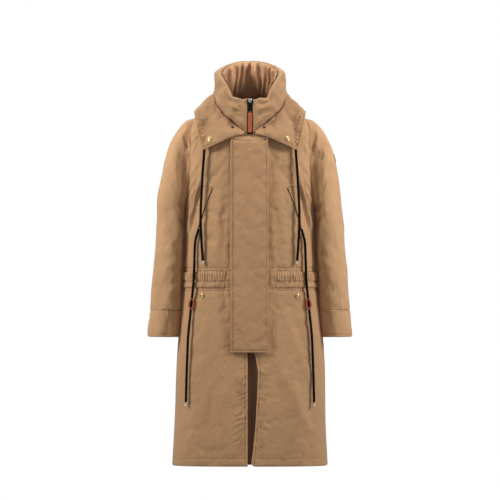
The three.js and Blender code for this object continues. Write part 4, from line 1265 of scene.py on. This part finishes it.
def make_stand_collar():
    edge_lines = (COLLAR_EDGE_LINE, COLLAR_LENGTH - COLLAR_EDGE_LINE)
    columns = spread(COLLAR_LENGTH, 4, lines=edge_lines) / COLLAR_LENGTH
    v, u = np.meshgrid(spread(COLLAR_HEIGHT, 4) / COLLAR_HEIGHT, columns, indexing="ij")
    points, normal = normals(collar_surface, u, v, COLLAR_CORE)
    turn = collar_turn(u)
    at_front = smooth(0.62 - np.minimum(turn, 4 - turn), 0, 0.3)
    relief = collar_relief(points, u, v, at_front)
    pins = held_at(0.03, 0.97, 0.06, 0.94)
    shift = loosened(collar_surface, COLLAR_CORE, (22, 100), pins, (1.4, 0.03, 3.5), u, v)
    edge = np.minimum(np.minimum(u, 1 - u) * COLLAR_LENGTH, (1 - v) * COLLAR_HEIGHT)
    rim = COLLAR_THICKNESS / 2 * (1 - rounded(edge, 7))
    outer = points + normal * (relief * rounded(edge, 10) - rim)[..., None]
    outer += shift * rounded(edge, 14)[..., None]
    under = COLLAR_THICKNESS / 2 * (1 + rounded(edge, 7)) + 0.2
    scallop = lerp(0.5, 1.8, at_front) * noise(points, (26, 26, 200), 75) * smooth(v, 0.8, 1)
    lift = upward(scallop)
    inner = points - normal * under[..., None]
    piece = layered("collar_shell", outer + lift, inner + lift, False, CAPE_CLOTH_PAINTED_SHADE)
    thread = Stitching()
    thread.columns(outer, normal, [nearest(columns * COLLAR_LENGTH, line) for line in edge_lines])
    stitches = thread.piece("collar_stitching")
    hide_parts("stand_collar")
    belong((piece, stitches, neck_seam_shadow({"outer": outer, "normal": normal})))


def neck_seam_shadow(collar):
    """A dark strip along the seam where the stand collar meets the cape, a V across the front of the neck: painted
    shadow in the gap between them.
    """
    across = np.linspace(-103, 103, 90)
    path = []
    for x, z in zip(across, np.interp(np.abs(across), *zip(*NECKLINE))):
        place, normal = spot(collar, x, z)
        path.append(place + 1.8 * normal)
    return sweep("neck_seam_shadow", np.array(path), oval(1.7, 1.7, 8), RECESS_SHADE_CLOTH)


def make_collar_lining():
    """The collar's lining, gathered into deep folds that run down from the rim."""
    v, u = np.meshgrid(np.linspace(0.01, 0.985, 46), np.linspace(0.004, 0.996, 260), indexing="ij")
    points, normal = normals(collar_surface, u, v, COLLAR_CORE)
    turn = collar_turn(u) + 0.05 * np.sin(5 * v + u * 40)
    folds = np.zeros_like(u)
    for k, place in enumerate(GATHER_TURNS):
        depth, width = 13.0 - 3.4 * (k % 3), 0.045 + 0.02 * (k % 2)
        folds += depth * bell(turn - place - 0.05 * (v - 0.5) * (-1) ** k, width)
    folds -= 2.5 * bell(turn - 2.02, 0.1)
    folds += 1.3 * noise(points, (22, 22, 70), 81)
    folds *= smooth(v, -0.1, 0.3) * smooth(1.02 - v, 0, 0.12)
    outer = points - normal * (COLLAR_THICKNESS + 2.2 + np.maximum(folds, -1.2))[..., None]
    # The lining's colour carries painted shade low down and painted light near the rim.
    lining = layered("collar_inside", outer, outer - normal * 1.5, False, NECK_LINING_PAINTED_SHADE)
    stand_for(lining, "collar_lining")


def cape_relief(points, from_hem):
    x, z = np.abs(points[..., 0]), points[..., 2]
    on_front = points[..., 1] < 0
    relief = 2.2 * noise(points, (80, 80, 80), 91) + 0.7 * noise(points, (28, 28, 28), 92)
    relief += groove(from_hem - CAPE_HEM_LINE, 1.2)
    # the channel that the drawcord gathers, up each side edge
    beside = smooth(z, 935, 955) * smooth(1062 - z, 0, 20) * (points[..., 1] < -30)
    channel = bell(from_hem - 15, 9) * beside * smooth(x, 128, 140)
    puckers = np.sin(z / 1.8 + 2.2 * noise(points, (18, 18, 18), 93))
    relief += channel * (2.0 + 3.0 * puckers)
    relief += beside * smooth(x, 128, 140) * (groove(from_hem - 26, 1.4, 1.8))
    for start, end, width, height in (
        ((60, 1010), (128, 1062), 12, 2.2), ((30, 996), (100, 1000), 10, 1.6), ((110, 1075), (140, 1050), 10, -2.0)
    ):
        relief += fold(x, z, start, end, width, height) * on_front
    return relief


def make_cape():
    hem_line = CAPE_WIDTH - CAPE_HEM_LINE
    rows = spread(CAPE_WIDTH, 3.0, fine_start=False, lines=(hem_line,)) / CAPE_WIDTH
    v, u = np.meshgrid(rows, spread(CAPE_LENGTH, 2.6) / CAPE_LENGTH, indexing="ij")
    points, normal = normals(cape_surface, u, v, CAPE_CORE)
    from_hem = (1 - v) * CAPE_WIDTH
    relief = cape_relief(points, from_hem)
    pins = held_at(0.02, 0.98, 0.05, 0.93)
    shift = loosened(cape_surface, CAPE_CORE, (22, 190), pins, (0.6, 0.015, 2), u, v)
    edge = np.minimum(from_hem, np.minimum(u, 1 - u) * CAPE_LENGTH)
    thickness = lerp(4.0, CAPE_THICKNESS, smooth(edge, 0, 24))
    sink = thickness / 2 * (1 - rounded(edge, 4))
    outer = points + normal * (relief * rounded(edge, 8) - sink)[..., None]
    outer += shift * rounded(edge, 12)[..., None]
    under = thickness / 2 * (1 + rounded(edge, 4)) + 0.2
    piece = layered("cape", outer, points - normal * under[..., None], False, CAPE_CLOTH_PAINTED_SHADE)
    thread = Stitching()
    thread.rows(outer, normal, [nearest(rows * CAPE_WIDTH, hem_line)])
    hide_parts("cape_collar")
    belong((piece, thread.piece("cape_stitching")))
    return {"outer": outer, "normal": normal}


# ---- Placket, wind flap and zip -----------------------------------------------------------

STRIP_X = -51  # the flap's double-stitched strip ends here
FLAP_WIDTH, FLAP_HEIGHT = FLAP["right"] - FLAP["left"], FLAP["top"] - FLAP["bottom"]
HIDDEN_SNAPS = 3
FOLD_DEPTHS, FOLD_HEIGHTS = (-4.6, 6.0), (341, 975)
FACING = {"left": -22, "right": 30, "bottom": 6, "top": 950}
TOOTH_PITCH = 3.0
TOOTH = [(0.9, 0.55), (1.7, 0.85), (3.4, 0.6), (3.4, -0.6), (1.7, -0.85), (0.9, -0.55)]
TAPE_WIDTH, TAPE_START = 5.3, 3.7
TOWARD = np.array([0, -1.0, 0])


def from_sides(x, z, left, right, bottom, top):
    """The distance to the nearest side of a flat rectangle."""
    return np.minimum(np.minimum(x - left, right - x), np.minimum(z - bottom, top - z))


def placket_relief(x, z, from_edge):
    seam = FLAP["seam"]
    points = np.stack([x, 0 * x, z], axis=-1)
    relief = 1.0 * noise(points, (70, 70, 130), 101) + 0.5 * noise(points, (26, 26, 36), 102)
    relief += 1.8 * rounded(from_edge, 26)
    for line, depth in ((STRIP_X, 1.6), (FLAP["right"] - 6, 1.3)):
        relief += groove(x - line, depth)
    relief += groove(z - FLAP["bottom"] - 7, 1.3) + groove(z - seam, 1.6)
    relief -= 8.5 * smooth(z, seam - 2, FLAP["top"])
    relief += 1.3 * smooth(z, seam, seam + 5) * np.sin(z / 1.5 + x / 14)
    slant = np.sin((z + 0.8 * np.abs(x)) / 2.6 + 3 * noise(points, (60, 60, 70), 103))
    puckered = np.clip(0.35 + 0.5 * noise(points, (90, 90, 60), 104), 0, 1)
    relief += 0.8 * slant * puckered * smooth(np.abs(x), 20, 44) * smooth(from_edge, 3, 8)
    relief += fold(x, z, (-30, 880), (34, 760), 14, 1.0) + fold(x, z, (40, 700), (-20, 560), 12, 0.8)
    return relief


def placket_swell(x, z, from_edge):
    """How far the back swells towards the coat: less beside the hinge and round the hidden snaps."""
    swell = 2.2 * smooth(from_edge, 2, 12) * smooth(x - FLAP["left"], 8, 20) * smooth(940 - z, 0, 30)
    for number in range(1, HIDDEN_SNAPS + 1):
        low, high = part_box(f"placket_snap_socket_{number}")
        snap = (np.array(low) + np.array(high)) / 2 * 1000 + ORIGIN
        swell = swell * (1 - np.exp(-(((x - snap[0]) ** 2 + (z - snap[2] / math.cos(LEAN)) ** 2) / 81)))
    return swell


def make_placket():
    seam_height = FLAP["seam"] - FLAP["bottom"]
    columns = spread(FLAP_WIDTH, 4, lines=(STRIP_X - FLAP["left"], FLAP_WIDTH - 6)) + FLAP["left"]
    rows = spread(FLAP_HEIGHT, 4, lines=(7, seam_height)) + FLAP["bottom"]
    z, x = np.meshgrid(rows, columns, indexing="ij")
    from_edge = from_sides(x, z, FLAP["left"], FLAP["right"], FLAP["bottom"], FLAP["top"])

    def surface(u, v):
        across, up = lerp(FLAP["left"], FLAP["right"], u), lerp(FLAP["bottom"], FLAP["top"], v)
        return leaning(across, FLAP["back"] - FLAP["thickness"], up)

    def behind(points):
        return points - 100 * TOWARD

    u, v = (x - FLAP["left"]) / FLAP_WIDTH, (z - FLAP["bottom"]) / FLAP_HEIGHT
    shift = loosened(surface, behind, (130, 24), held_at(0.09, 0.93, 0.02, 0.985), (0.4, 0.006, 0.9), u, v)
    half = FLAP["thickness"] / 2
    edge = half * rounded(from_edge, 3.5)
    out = FLAP["back"] - half - edge - placket_relief(x, z, from_edge) * rounded(from_edge, 5)
    back = np.maximum(FLAP["back"] - half + edge * 0.98, out + 0.4)
    drop = upward(-3.0 * (1 - (x / 54) ** 2) * smooth(z, FLAP["seam"] - 60, FLAP["seam"]))
    outer = leaning(x, out, z) + shift + drop
    inner = leaning(x, back + placket_swell(x, z, from_edge), z) + drop
    piece = layered("placket_flap", outer, inner, False, PLACKET_CLOTH_PAINTED_SHADE)
    toward = np.broadcast_to(TOWARD, outer.shape)
    thread = Stitching()
    lines = (STRIP_X - 3, STRIP_X + 2, FLAP["right"] - 6)
    thread.columns(outer, toward, [nearest(columns, line) for line in lines])
    thread.rows(outer, toward, [nearest(rows, FLAP["bottom"] + 7), nearest(rows, FLAP["seam"])])
    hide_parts("placket")
    belong((piece, thread.piece("placket_stitching")), "placket")


def make_placket_fold():
    """The fold of cloth between the coat and the placket, beside the placket's hinge."""
    (near, far), (low, high) = FOLD_DEPTHS, FOLD_HEIGHTS
    z, y = np.meshgrid(spread(high - low, 4) + low, spread(far - near, 1.5) + near, indexing="ij")
    edge = from_sides(y, z, near, far, low, high)
    wavy = 0.5 * noise(np.stack([0 * y, y, z], axis=-1), (30, 30, 22), 105)
    outer = leaning(-52.5 + (1.8 + wavy) * rounded(edge, 1.5), y, z)
    inner = leaning(-52.6 - 1.8 * rounded(edge, 1.5), y, z)
    piece = layered("placket_fold", outer, inner, False, PLACKET_CLOTH_PAINTED_SHADE)
    belong((piece,))


def make_wind_flap():
    """The facing behind the zip and the slit, with its edges and a zip guard standing proud."""
    width, height = FACING["right"] - FACING["left"], FACING["top"] - FACING["bottom"]
    rows, columns = spread(height, 8) + FACING["bottom"], spread(width, 2.0) + FACING["left"]
    z, x = np.meshgrid(rows, columns, indexing="ij")
    from_edge = from_sides(x, z, FACING["left"], FACING["right"], FACING["bottom"], FACING["top"])
    relief = 0.5 * noise(np.stack([x, 0 * x, z], axis=-1), (30, 30, 160), 111)
    relief += 1.6 * bell(x - 3, 1.6) + 1.6 * bell(x - 12, 1.6) + groove(x - 7.5, 1.0)
    outer = leaning(x, SHELL + 5 - 1.5 * rounded(from_edge, 1.5) - relief * rounded(from_edge, 3), z)
    inner = leaning(x, SHELL + 5.2 + 1.4 * rounded(from_edge, 1.5), z)
    # The facing's dark colour is painted shade for the recess behind the slit.
    piece = layered("facing", outer, inner, False, RECESS_SHADE_CLOTH)
    stand_for(piece, "wind_flap")


def zip_teeth(name, side):
    starts = np.arange(ZIP_BOTTOM, ZIP_TOP - 1, TOOTH_PITCH) + (TOOTH_PITCH / 2 if side > 0 else 0)
    teeth = [leaning(side * x, ZIP_Y + y, z + dz) for z in starts for y in (-1.5, 1.5) for x, dz in TOOTH]
    faces, corners = [], len(TOOTH)
    for first in range(0, len(teeth), 2 * corners):
        near, far = [first + k for k in range(corners)], [first + corners + k for k in range(corners)]
        faces += [near[::side], far[::-side]]
        for i in range(corners):
            j = (i + 1) % corners
            faces.append([near[i], far[i], far[j], near[j]][::side])
    return mesh_object(name + "_teeth", np.array(teeth), faces, BLACK_METAL, smooth_faces=False)


def zip_tape(name, side):
    rows = spread(ZIP_TOP + 9 - ZIP_BOTTOM + 4, 4) + ZIP_BOTTOM - 4
    z, x = np.meshgrid(rows, spread(TAPE_WIDTH, 0.9), indexing="ij")
    ribs = 0.14 * np.sin(z * math.pi / 2) + 0.25 * bell(x - 0.9, 0.5)
    outer = leaning(side * (x + TAPE_START), ZIP_Y - 0.4 - ribs, z)
    return layered(name + "_tape", outer, leaning(side * (x + TAPE_START), ZIP_Y + 0.45, z), False, TAPE)


def make_zip():
    for name, side in SIDES.items():
        stand_for(zip_teeth(name, side), f"{name}_zip_teeth")
        stand_for(zip_tape(name, side), f"{name}_zip_tape")
    low, high = (-3.4, ZIP_Y - 2.5, ZIP_BOTTOM - 12), (3.4, ZIP_Y + 2.5, ZIP_BOTTOM - 0.6)
    stand_for(rounded_box("bottom_box", low, high, 0.8, BLACK_METAL), "zip_bottom_box")


def plate_between(name, outline, near, far, radius, material):
    """A flat plate on the leaning plane, from an outline of (x, z) and two depths."""
    count = len(outline)
    x, z = np.array(outline, float).T
    points = np.vstack([leaning(x, near, z), leaning(x, far, z)])
    faces = [list(range(count)), list(range(2 * count))[count:][::-1]]
    faces += [[k, k + count, (k + 1) % count + count, (k + 1) % count] for k in range(count)]
    made = mesh_object(name, points, faces, material)
    bevel_edges(made, radius, 2)
    return made


def make_slider():
    """Two tapered plates, a web between the rows of teeth and a bail for the pull."""
    z = SLIDER_Z
    half_outline = [(3.6, z - 6), (5.4, z - 1), (5.4, z + 3.5), (3.8, z + 6)]
    outline = [(-3.6, z - 6)] + half_outline + [(-x, height) for x, height in half_outline[:0:-1]]
    near, far = ZIP_Y - 2.3, ZIP_Y + 2.3
    pieces = [
        plate_between("slider", outline, near - 2.2, near, 0.6, SILVER),
        plate_between("slider_back", outline, far, far + 2.2, 0.6, SILVER),
        rounded_box("slider_web", (-0.5, near - 0.1, z - 5), (0.5, far + 0.1, z + 6), 0.2, SILVER),
    ]
    half_arch = [(near - 2.0, 4.6), (near - 3.4, 4.4), (near - 5.0, 3.0)]
    arch = half_arch + [(near - 5.4, 0)] + [(y, -height) for y, height in half_arch[::-1]]
    ribbon = curve([(0, y, height) for y, height in arch], np.linspace(0, 1, 22))
    path = leaning(ribbon[:, 0], ribbon[:, 1], ribbon[:, 2] + z)
    pieces.append(sweep("slider_bail", path, oval(1.5, 0.65, 12, 0.7), SILVER, hint=(1, 0, 0)))
    stand_for(join("slider", *pieces), "zip_slider", "slider")


def pull_link(bottom):
    """A slim wire ring that hangs in the slider's bail."""
    half, corner = 3.7, 1.6
    left, right, low, high = -half + corner, half - corner, bottom + corner, SLIDER_Z - corner
    ring = [
        (x + corner * math.cos(t + k * math.pi / 2), z + corner * math.sin(t + k * math.pi / 2))
        for k, (x, z) in enumerate([(right, high), (left, high), (left, low), (right, low)])
        for t in np.linspace(0, math.pi / 2, 6)
    ]
    x, z = np.array(ring + ring[:1]).T
    return sweep("pull_link", leaning(x, PULL_Y, z), oval(0.65, 0.65, 10), BLACK_METAL, hint=(0, 1, 0))


def pull_tab(bar_z):
    """A leather tab folded over the link's lower bar, with a keeper round it."""
    half = TAB_WIDTH / 2
    rows = spread(TAB_LENGTH - 2, 2.0) + bar_z - TAB_LENGTH
    z, x = np.meshgrid(rows, spread(TAB_WIDTH, 1.3) - half, indexing="ij")
    # the tab narrows to a throat where it wraps the bar, and its lower corners are rounded
    throat = lerp(1.0, 0.8, smooth(z, bar_z - 5, bar_z - 2.4))
    foot = np.sqrt(np.clip(1 - ((bar_z - TAB_LENGTH + 2.2 - z) / 2.2).clip(0, 1) ** 2 * 0.5, 0, 1))
    from_edge = np.minimum(half - np.abs(x), np.minimum(z - rows[0], rows[-1] - z))
    swell = 1.3 * rounded(from_edge, 1.2)
    stitch = 0.25 * bell(np.abs(x) - TAB_STITCH_X, 0.5)
    outer = leaning(x * throat * foot, PULL_Y - swell + stitch * (swell > 1), z)
    inner = leaning(x * throat * foot, PULL_Y + swell + 0.02, z)
    eye_path = leaning(np.linspace(-2.6, 2.6, 9), PULL_Y, bar_z)
    low, high = (-6.9, PULL_Y - 1.75, bar_z - 9.2), (6.9, PULL_Y + 1.75, bar_z - 5.6)
    return join(
        "pull_tab",
        layered("pull_tab", outer, inner, False, LEATHER),
        sweep("pull_eye", eye_path, oval(2.0, 2.0, 20), LEATHER),
        rounded_box("pull_keeper", low, high, 0.8, LEATHER),
    )


def make_pull():
    bar_z = SLIDER_Z + 0.65 - LINK_LENGTH + 0.65
    stand_for(pull_link(bar_z), "zip_pull_link", "zip_pull")
    tab = pull_tab(bar_z)
    thread = Stitching()
    for sign in (-1, 1):
        line = np.linspace(bar_z - TAB_LENGTH + 4, bar_z - 10, 20)
        thread.add(leaning(sign * TAB_STITCH_X, PULL_Y - 1.2, line), np.tile(TOWARD, (20, 1)))
    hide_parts("zip_pull_tab")
    belong((tab, thread.piece("pull_stitching")), "zip_pull")


# ---- Trims --------------------------------------------------------------------------------

STRIP_LENGTH, MOUTH_LENGTH = 262.0, 160
# the turn and the height of each end of a chest pocket's mouth
CHEST_MOUTH = {"upper": (0.333, 829), "lower": (0.56, 692)}
HIP_SNAP = (142, 508)
CAPE_HARDWARE = {"left": ((112, 975), (42, 1011)), "right": ((-120, 973.5), (-52, 1009.5))}  # snap, eyelet
HIP_SNAP_LIFT, CAPE_SNAP_LIFT = 1.4, 2.4


def on_panel(panel, turn, row):
    """Points and directions on a front panel's finished surface, where a row has one height."""
    points, normal = np.zeros(turn.shape + (3,)), np.zeros(turn.shape + (3,))
    for k, height in enumerate(row[:, 0]):
        above = int(np.clip(np.searchsorted(ROWS, height), 1, len(ROWS) - 1))
        share = (height - ROWS[above - 1]) / (ROWS[above] - ROWS[above - 1])
        for grid, found in ((panel["outer"], points), (panel["normal"], normal)):
            for axis in range(3):
                low, high = (np.interp(turn[k], panel["turn"][r], grid[r, :, axis]) for r in (above - 1, above))
                found[k, :, axis] = lerp(low, high, share)
    return points, normal


def strip_on_panel(name, panel, inner_x, outer_turn, bottom, top, lift, relief_of):
    """A sewn-on strip that follows the panel, from a distance off centre round to a turn."""
    rows = spread(top - bottom, 2.6) + bottom
    first = turn_at_x(np.full_like(rows, float(inner_x)), rows)
    places = spread(STRIP_LENGTH, 2.2) / STRIP_LENGTH
    turn = lerp(first[:, None], outer_turn, places[None, :])
    row = np.broadcast_to(rows[:, None], turn.shape)
    points, normal = on_panel(panel, turn, row)
    from_ends = np.minimum(places, 1 - places)[None, :] * STRIP_LENGTH
    edge = np.minimum(from_ends, np.minimum(row - bottom, top - row))
    relief = relief_of(places[None, :] * STRIP_LENGTH, (row - bottom) / (top - bottom), points)
    outer = points + normal * (lift * rounded(edge, 1.8) + relief * rounded(edge, 4))[..., None]
    return layered(name, outer, points - normal * 0.9, False, SHELL_CLOTH), outer, normal


def ruched(along_strip, height, points):
    waves = np.sin(along_strip * 2 * math.pi / 10 + 1.3 * noise(points, (50, 50, 50), 121))
    return 1.5 * waves * np.sin(math.pi * np.clip(height, 0, 1)) ** 0.5 + 1.2 * np.sin(math.pi * height)


def flat_welt(along_strip, height, points):
    return 0.9 * np.sin(math.pi * height) + 0.35 * noise(points, (30, 30, 30), 122)


def slanted_strip(name, panel, low, high, lift, thickness, material, step):
    """A strip along a chest pocket's mouth, between two distances from it."""
    lower, upper = CHEST_MOUTH["lower"], CHEST_MOUTH["upper"]
    places = spread(MOUTH_LENGTH, 4) / MOUTH_LENGTH
    v, across = np.meshgrid(places, spread(high - low, step) + low, indexing="ij")
    turn = lerp(lower[0], upper[0], v) + across / SIDE_REACH
    points, normal = on_panel(panel, turn, lerp(lower[1], upper[1], v))
    edge = np.minimum(np.minimum(across - low, high - across), np.minimum(v, 1 - v) * MOUTH_LENGTH)
    swell = thickness / 2 * rounded(edge, thickness / 2)
    wavy = 0.4 * noise(points, (20, 20, 20), 131) * rounded(edge, 4)
    outer = points + normal * (lift + swell + wavy)[..., None]
    inner = points + normal * (lift - swell + wavy - 0.1)[..., None]
    return layered(name, outer, inner, False, material), outer, normal


def chest_pocket(name, panel):
    """A slanted welt with a dark strip beside it, painted shadow in the pocket's mouth, and the stitched lines
    round its bag.
    """
    mouth, _, _ = slanted_strip(name + "_pocket_mouth_shadow", panel, -2.8, 1.2, 0.7, 0.8, POCKET_SHADOW_CLOTH, 0.8)
    welt, outer, normal = slanted_strip(name + "_chest_welt", panel, 0.4, 9.0, 0.9, 2.6, SHELL_CLOTH, 1.6)
    thread = Stitching()
    thread.columns(outer, normal, [-4])
    thread.rows(outer, normal, (-3, -2, -1))
    t = np.linspace(0, 1, 24)
    thread.columns(*on_panel(panel, lerp(0.6, 0.7, t)[:, None], lerp(833, 700, t)[:, None]), [0])
    turn, height = CHEST_MOUTH["upper"]
    for offset in (4, 9):
        turns = lerp(turn + 0.01, 0.6, t)[None, :]
        thread.rows(*on_panel(panel, turns, np.full((1, 24), height + offset)), [0])
    return mouth, welt, thread.piece(name + "_chest_stitching")


def make_trims(fronts):
    for name, side in SIDES.items():
        panel = fronts[name]
        band, outer, normal = strip_on_panel(name + "_ruched_band", panel, 73, 0.93, 551, 580, 1.8, ruched)
        welt, welt_outer, welt_normal = strip_on_panel(name + "_hip_welt", panel, 76, 0.9, 531, 548, 1.8, flat_welt)
        thread = Stitching()
        for row in (3, -4):
            thread.add(outer[row], normal[row])
            thread.add(welt_outer[row], welt_normal[row])
        stitches = thread.piece(name + "_pocket_stitching")
        top, _, _ = strip_on_panel(name + "_pocket_top", panel, 113, 0.53, 832, 839, 0.7, flat_welt)
        mouth, chest_welt, chest_stitches = chest_pocket(name, panel)
        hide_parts(f"{name}_waist_band")
        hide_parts(f"{name}_hip_pocket_welt")
        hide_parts(f"{name}_chest_pocket_welt")
        belong((band, welt, stitches, top, chest_welt, chest_stitches))
        belong((mouth,))
        place, normal = spot(panel, HIP_SNAP[0] * side, HIP_SNAP[1])
        make_snap(name + "_hip_snap_cap", f"{name}_hip_snap", place + HIP_SNAP_LIFT * normal, normal)


def spot(panel, x, z):
    """The place on a front surface nearest to (x, z), and its outward direction."""
    points, normal = (panel[key].reshape(-1, 3) for key in ("outer", "normal"))
    off = np.hypot(points[:, 0] - x, points[:, 2] - z) + 1e6 * (points[:, 1] > 0)
    near = np.argsort(off)[:6]
    weight = 1 / (off[near] + 0.5)
    place = (points[near] * weight[:, None]).sum(axis=0) / weight.sum()
    direction = normal[near].mean(axis=0)
    return place, direction / np.linalg.norm(direction)


def make_snap(name, node, place, normal):
    """A domed press-stud cap with a raised rim."""
    profile = [(6.6, -0.6), (7.2, -0.1), (7.3, 0.6), (6.9, 1.2), (6.2, 1.3), (5.8, 1.05), (5.3, 1.3),
               (4.2, 2.1), (2.6, 2.7), (1.2, 2.95), (0.05, 3.0)]
    stand_for(lathe(name, profile, place, normal, GOLD, 32), node)


def make_cape_hardware(cape_grid):
    for name, (snap, eyelet) in CAPE_HARDWARE.items():
        place, normal = spot(cape_grid, *snap)
        make_snap(name + "_cape_snap_cap", f"{name}_cape_snap", place + CAPE_SNAP_LIFT * normal, normal)
        place, normal = spot(cape_grid, *eyelet)
        profile = [(3.9, -0.4), (4.0, 0.3), (3.7, 0.8), (3.3, 0.9), (2.9, 0.7), (2.7, 0.2), (2.6, -0.6)]
        ring = lathe(name + "_eyelet_ring", profile, place, normal, BLACK_METAL, 28)
        # a near-black disc closes the eyelet: painted shadow in the hole
        hole = lathe(name + "_eyelet_hole", [(2.8, 0.3), (1.4, 0.3), (0.05, 0.3)], place, normal, HOLE, 20)
        stand_for(join(name + "_eyelet_ring", ring, hole), f"{name}_cape_eyelet")


# ---- Cords --------------------------------------------------------------------------------

TOGGLE_TOP, TOGGLE_FOOT = (168.5, -89.5, 545), (182, -93.6, 412)  # the cord is straight between these
TOGGLE_HALF_WIDTH, TOGGLE_HALF_HEIGHT = 6.2, 14.6


def cord_curve(name, route, radius):
    data = bpy.data.curves.new(name, "CURVE")
    data.dimensions, data.bevel_depth, data.bevel_resolution, data.resolution_u = "3D", radius / 1000, 4, 6
    data.use_fill_caps = True
    points = curve(route, np.linspace(0, 1, 2 * len(route) + 9))
    spline = data.splines.new("NURBS")
    spline.points.add(len(points) - 1)
    for point, place in zip(spline.points, to_frame(points)):
        point.co = (*place, 1)
    spline.use_endpoint_u, spline.order_u = True, 4
    data.materials.append(CORD)
    steps = np.linalg.norm(np.diff(curve_by_length(route, np.linspace(0, 1, 200)), axis=0), axis=1)
    return add_object(name, data), float(steps.sum()) / 1000


def cord_tip(name, route, radius, node):
    """A crimped metal end with a bead, below the cord's last point."""
    end = np.array(route[-1], float)
    direction = end - np.array(route[-2], float)
    profile = [(0.1, 0.2), (radius + 0.2, 0.2), (radius + 0.4, 1.0), (radius + 0.1, 1.8), (radius + 0.35, 2.6),
               (radius + 0.3, 6.5), (radius - 0.3, 8.6), (radius - 1.4, 9.8), (0.1, 10.2)]
    tip = lathe(name, profile, end, direction, SILVER, 22)
    stand_for(tip, node)
    return tip


def make_toggle(name, side):
    """A leather ring, stitched to an oval, that the waist cord runs through."""
    above, below = (np.array([side * x, y, z]) for x, y, z in (TOGGLE_TOP, TOGGLE_FOOT))
    place = lerp(above, below, (above[2] - TOGGLE_Z) / (above[2] - below[2]))
    axis = (above - below) / np.linalg.norm(above - below)
    across = np.cross(np.array([0, 1.0, 0]), axis)
    across /= np.linalg.norm(across)
    ahead = np.cross(axis, across)
    grid = []
    for a in np.linspace(0, 2 * math.pi, 49)[:-1]:
        wide, high = math.cos(a), math.sin(a)
        middle = place + TOGGLE_HALF_WIDTH * wide * across + TOGGLE_HALF_HEIGHT * high * axis
        outward = wide * across / TOGGLE_HALF_WIDTH + high * axis / TOGGLE_HALF_HEIGHT
        outward /= np.linalg.norm(outward)
        grid.append([middle + p * outward + q * ahead for p, q in oval(2.5, 5.2, 18, 0.75)])
    grid = np.array(grid)
    rows, columns = grid.shape[:2]
    faces = grid_faces(rows + 1, columns, True) % (rows * columns)
    toggle = mesh_object(name + "_toggle", grid.reshape(-1, 3), faces, LEATHER_DARK)
    stand_for(toggle, f"{name}_cord_toggle", f"{name}_toggle")
    return toggle


def make_cord(name, side, kind, route, radius):
    path = [(side * x, y, z) for x, y, z in route]
    made, length = cord_curve(f"{name}_{kind}_drawcord", path, radius)
    on_it = [cord_tip(f"{name}_{kind}_tip", path, radius, f"{name}_{kind}_cord_tip")]
    if kind == "waist":
        on_it.append(make_toggle(name, side))
    stand_for(made, f"{name}_{kind}_cord")


# ---- Hanger loop and sleeve patch ---------------------------------------------------------

PATCH_HALF_WIDTH, PATCH_HALF_HEIGHT = 12, 13
ALONG_SLEEVE, ROUND_SLEEVE = 640, 420  # millimetres for the whole of v and of u
LOOP_RADIUS = 0.00125  # metres


def make_hanger_loop():
    low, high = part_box("hanger_loop")
    middle, half = (low + high) / 2, (high.x - low.x) / 2 - LOOP_RADIUS
    height = high.z - low.z - LOOP_RADIUS
    angles = np.linspace(0, math.pi, 40)
    x, z = middle.x + half * np.cos(angles), low.z + height * np.sin(angles)
    path = np.stack([x, np.full(40, middle.y), z], axis=-1)
    loop = sweep("loop", path * 1000 + ORIGIN, oval(2.5, 1.2, 14, 0.6), CORD, hint=(0, 1, 0))
    stand_for(loop, "hanger_loop")


def make_sleeve_patch(sleeve):
    """A blank woven patch with a stitched border, on the outside of the left sleeve."""
    low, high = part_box("sleeve_patch")
    middle_z = (low.z + high.z) / 2 * 1000 + ORIGIN[2]
    place = sleeve["v"][nearest(sleeve["outer"][:, 0, 2], middle_z)]
    rows, columns = (spread(2 * half, 1.6) - half for half in (PATCH_HALF_HEIGHT, PATCH_HALF_WIDTH))
    v, u = np.meshgrid(place + rows / ALONG_SLEEVE, columns / ROUND_SLEEVE, indexing="ij")
    points, direction = on_sleeve(sleeve, u, v)
    from_top = PATCH_HALF_HEIGHT - np.abs(v - place) * ALONG_SLEEVE
    edge = np.minimum(PATCH_HALF_WIDTH - np.abs(u * ROUND_SLEEVE), from_top)
    swell = 0.9 * rounded(edge, 1.2) + 0.25 * bell(edge - 2, 0.7)
    outer = points + direction * (0.5 + swell)[..., None]
    patch = layered("patch", outer, points - direction * (0.7 * rounded(edge, 1.2))[..., None], False, TAPE)
    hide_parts("sleeve_patch")
    blend_arm(patch)


# ---- The coat -----------------------------------------------------------------------------


def finish_cad_nodes():
    """The hidden halves of the placket's press studs keep their CAD shapes, in gold."""
    for name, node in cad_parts.items():
        if name.startswith("placket_snap"):
            node.data.materials.clear()
            node.data.materials.append(GOLD)


make_camera()
for side_name, side_sign in SIDES.items():
    make_cord(side_name, side_sign, "neck", NECK_CORD_ROUTE, NECK_CORD_RADIUS)
    make_cord(side_name, side_sign, "waist", WAIST_CORD_ROUTE, WAIST_CORD_RADIUS)
make_floor()
make_light()
front_grids = {side_name: make_front(side_name, side_sign) for side_name, side_sign in SIDES.items()}
make_back()
for side_name, side_sign in SIDES.items():
    sleeve_grid = make_sleeve(side_name, side_sign)
    make_cuff(side_name, side_sign)
    if side_sign > 0:
        make_sleeve_patch(sleeve_grid)
make_stand_collar()
make_collar_lining()
cape_grid = make_cape()
make_placket()
make_placket_fold()
make_wind_flap()
make_zip()
make_slider()
make_pull()
make_trims(front_grids)
make_cape_hardware(cape_grid)
make_hanger_loop()
finish_cad_nodes()
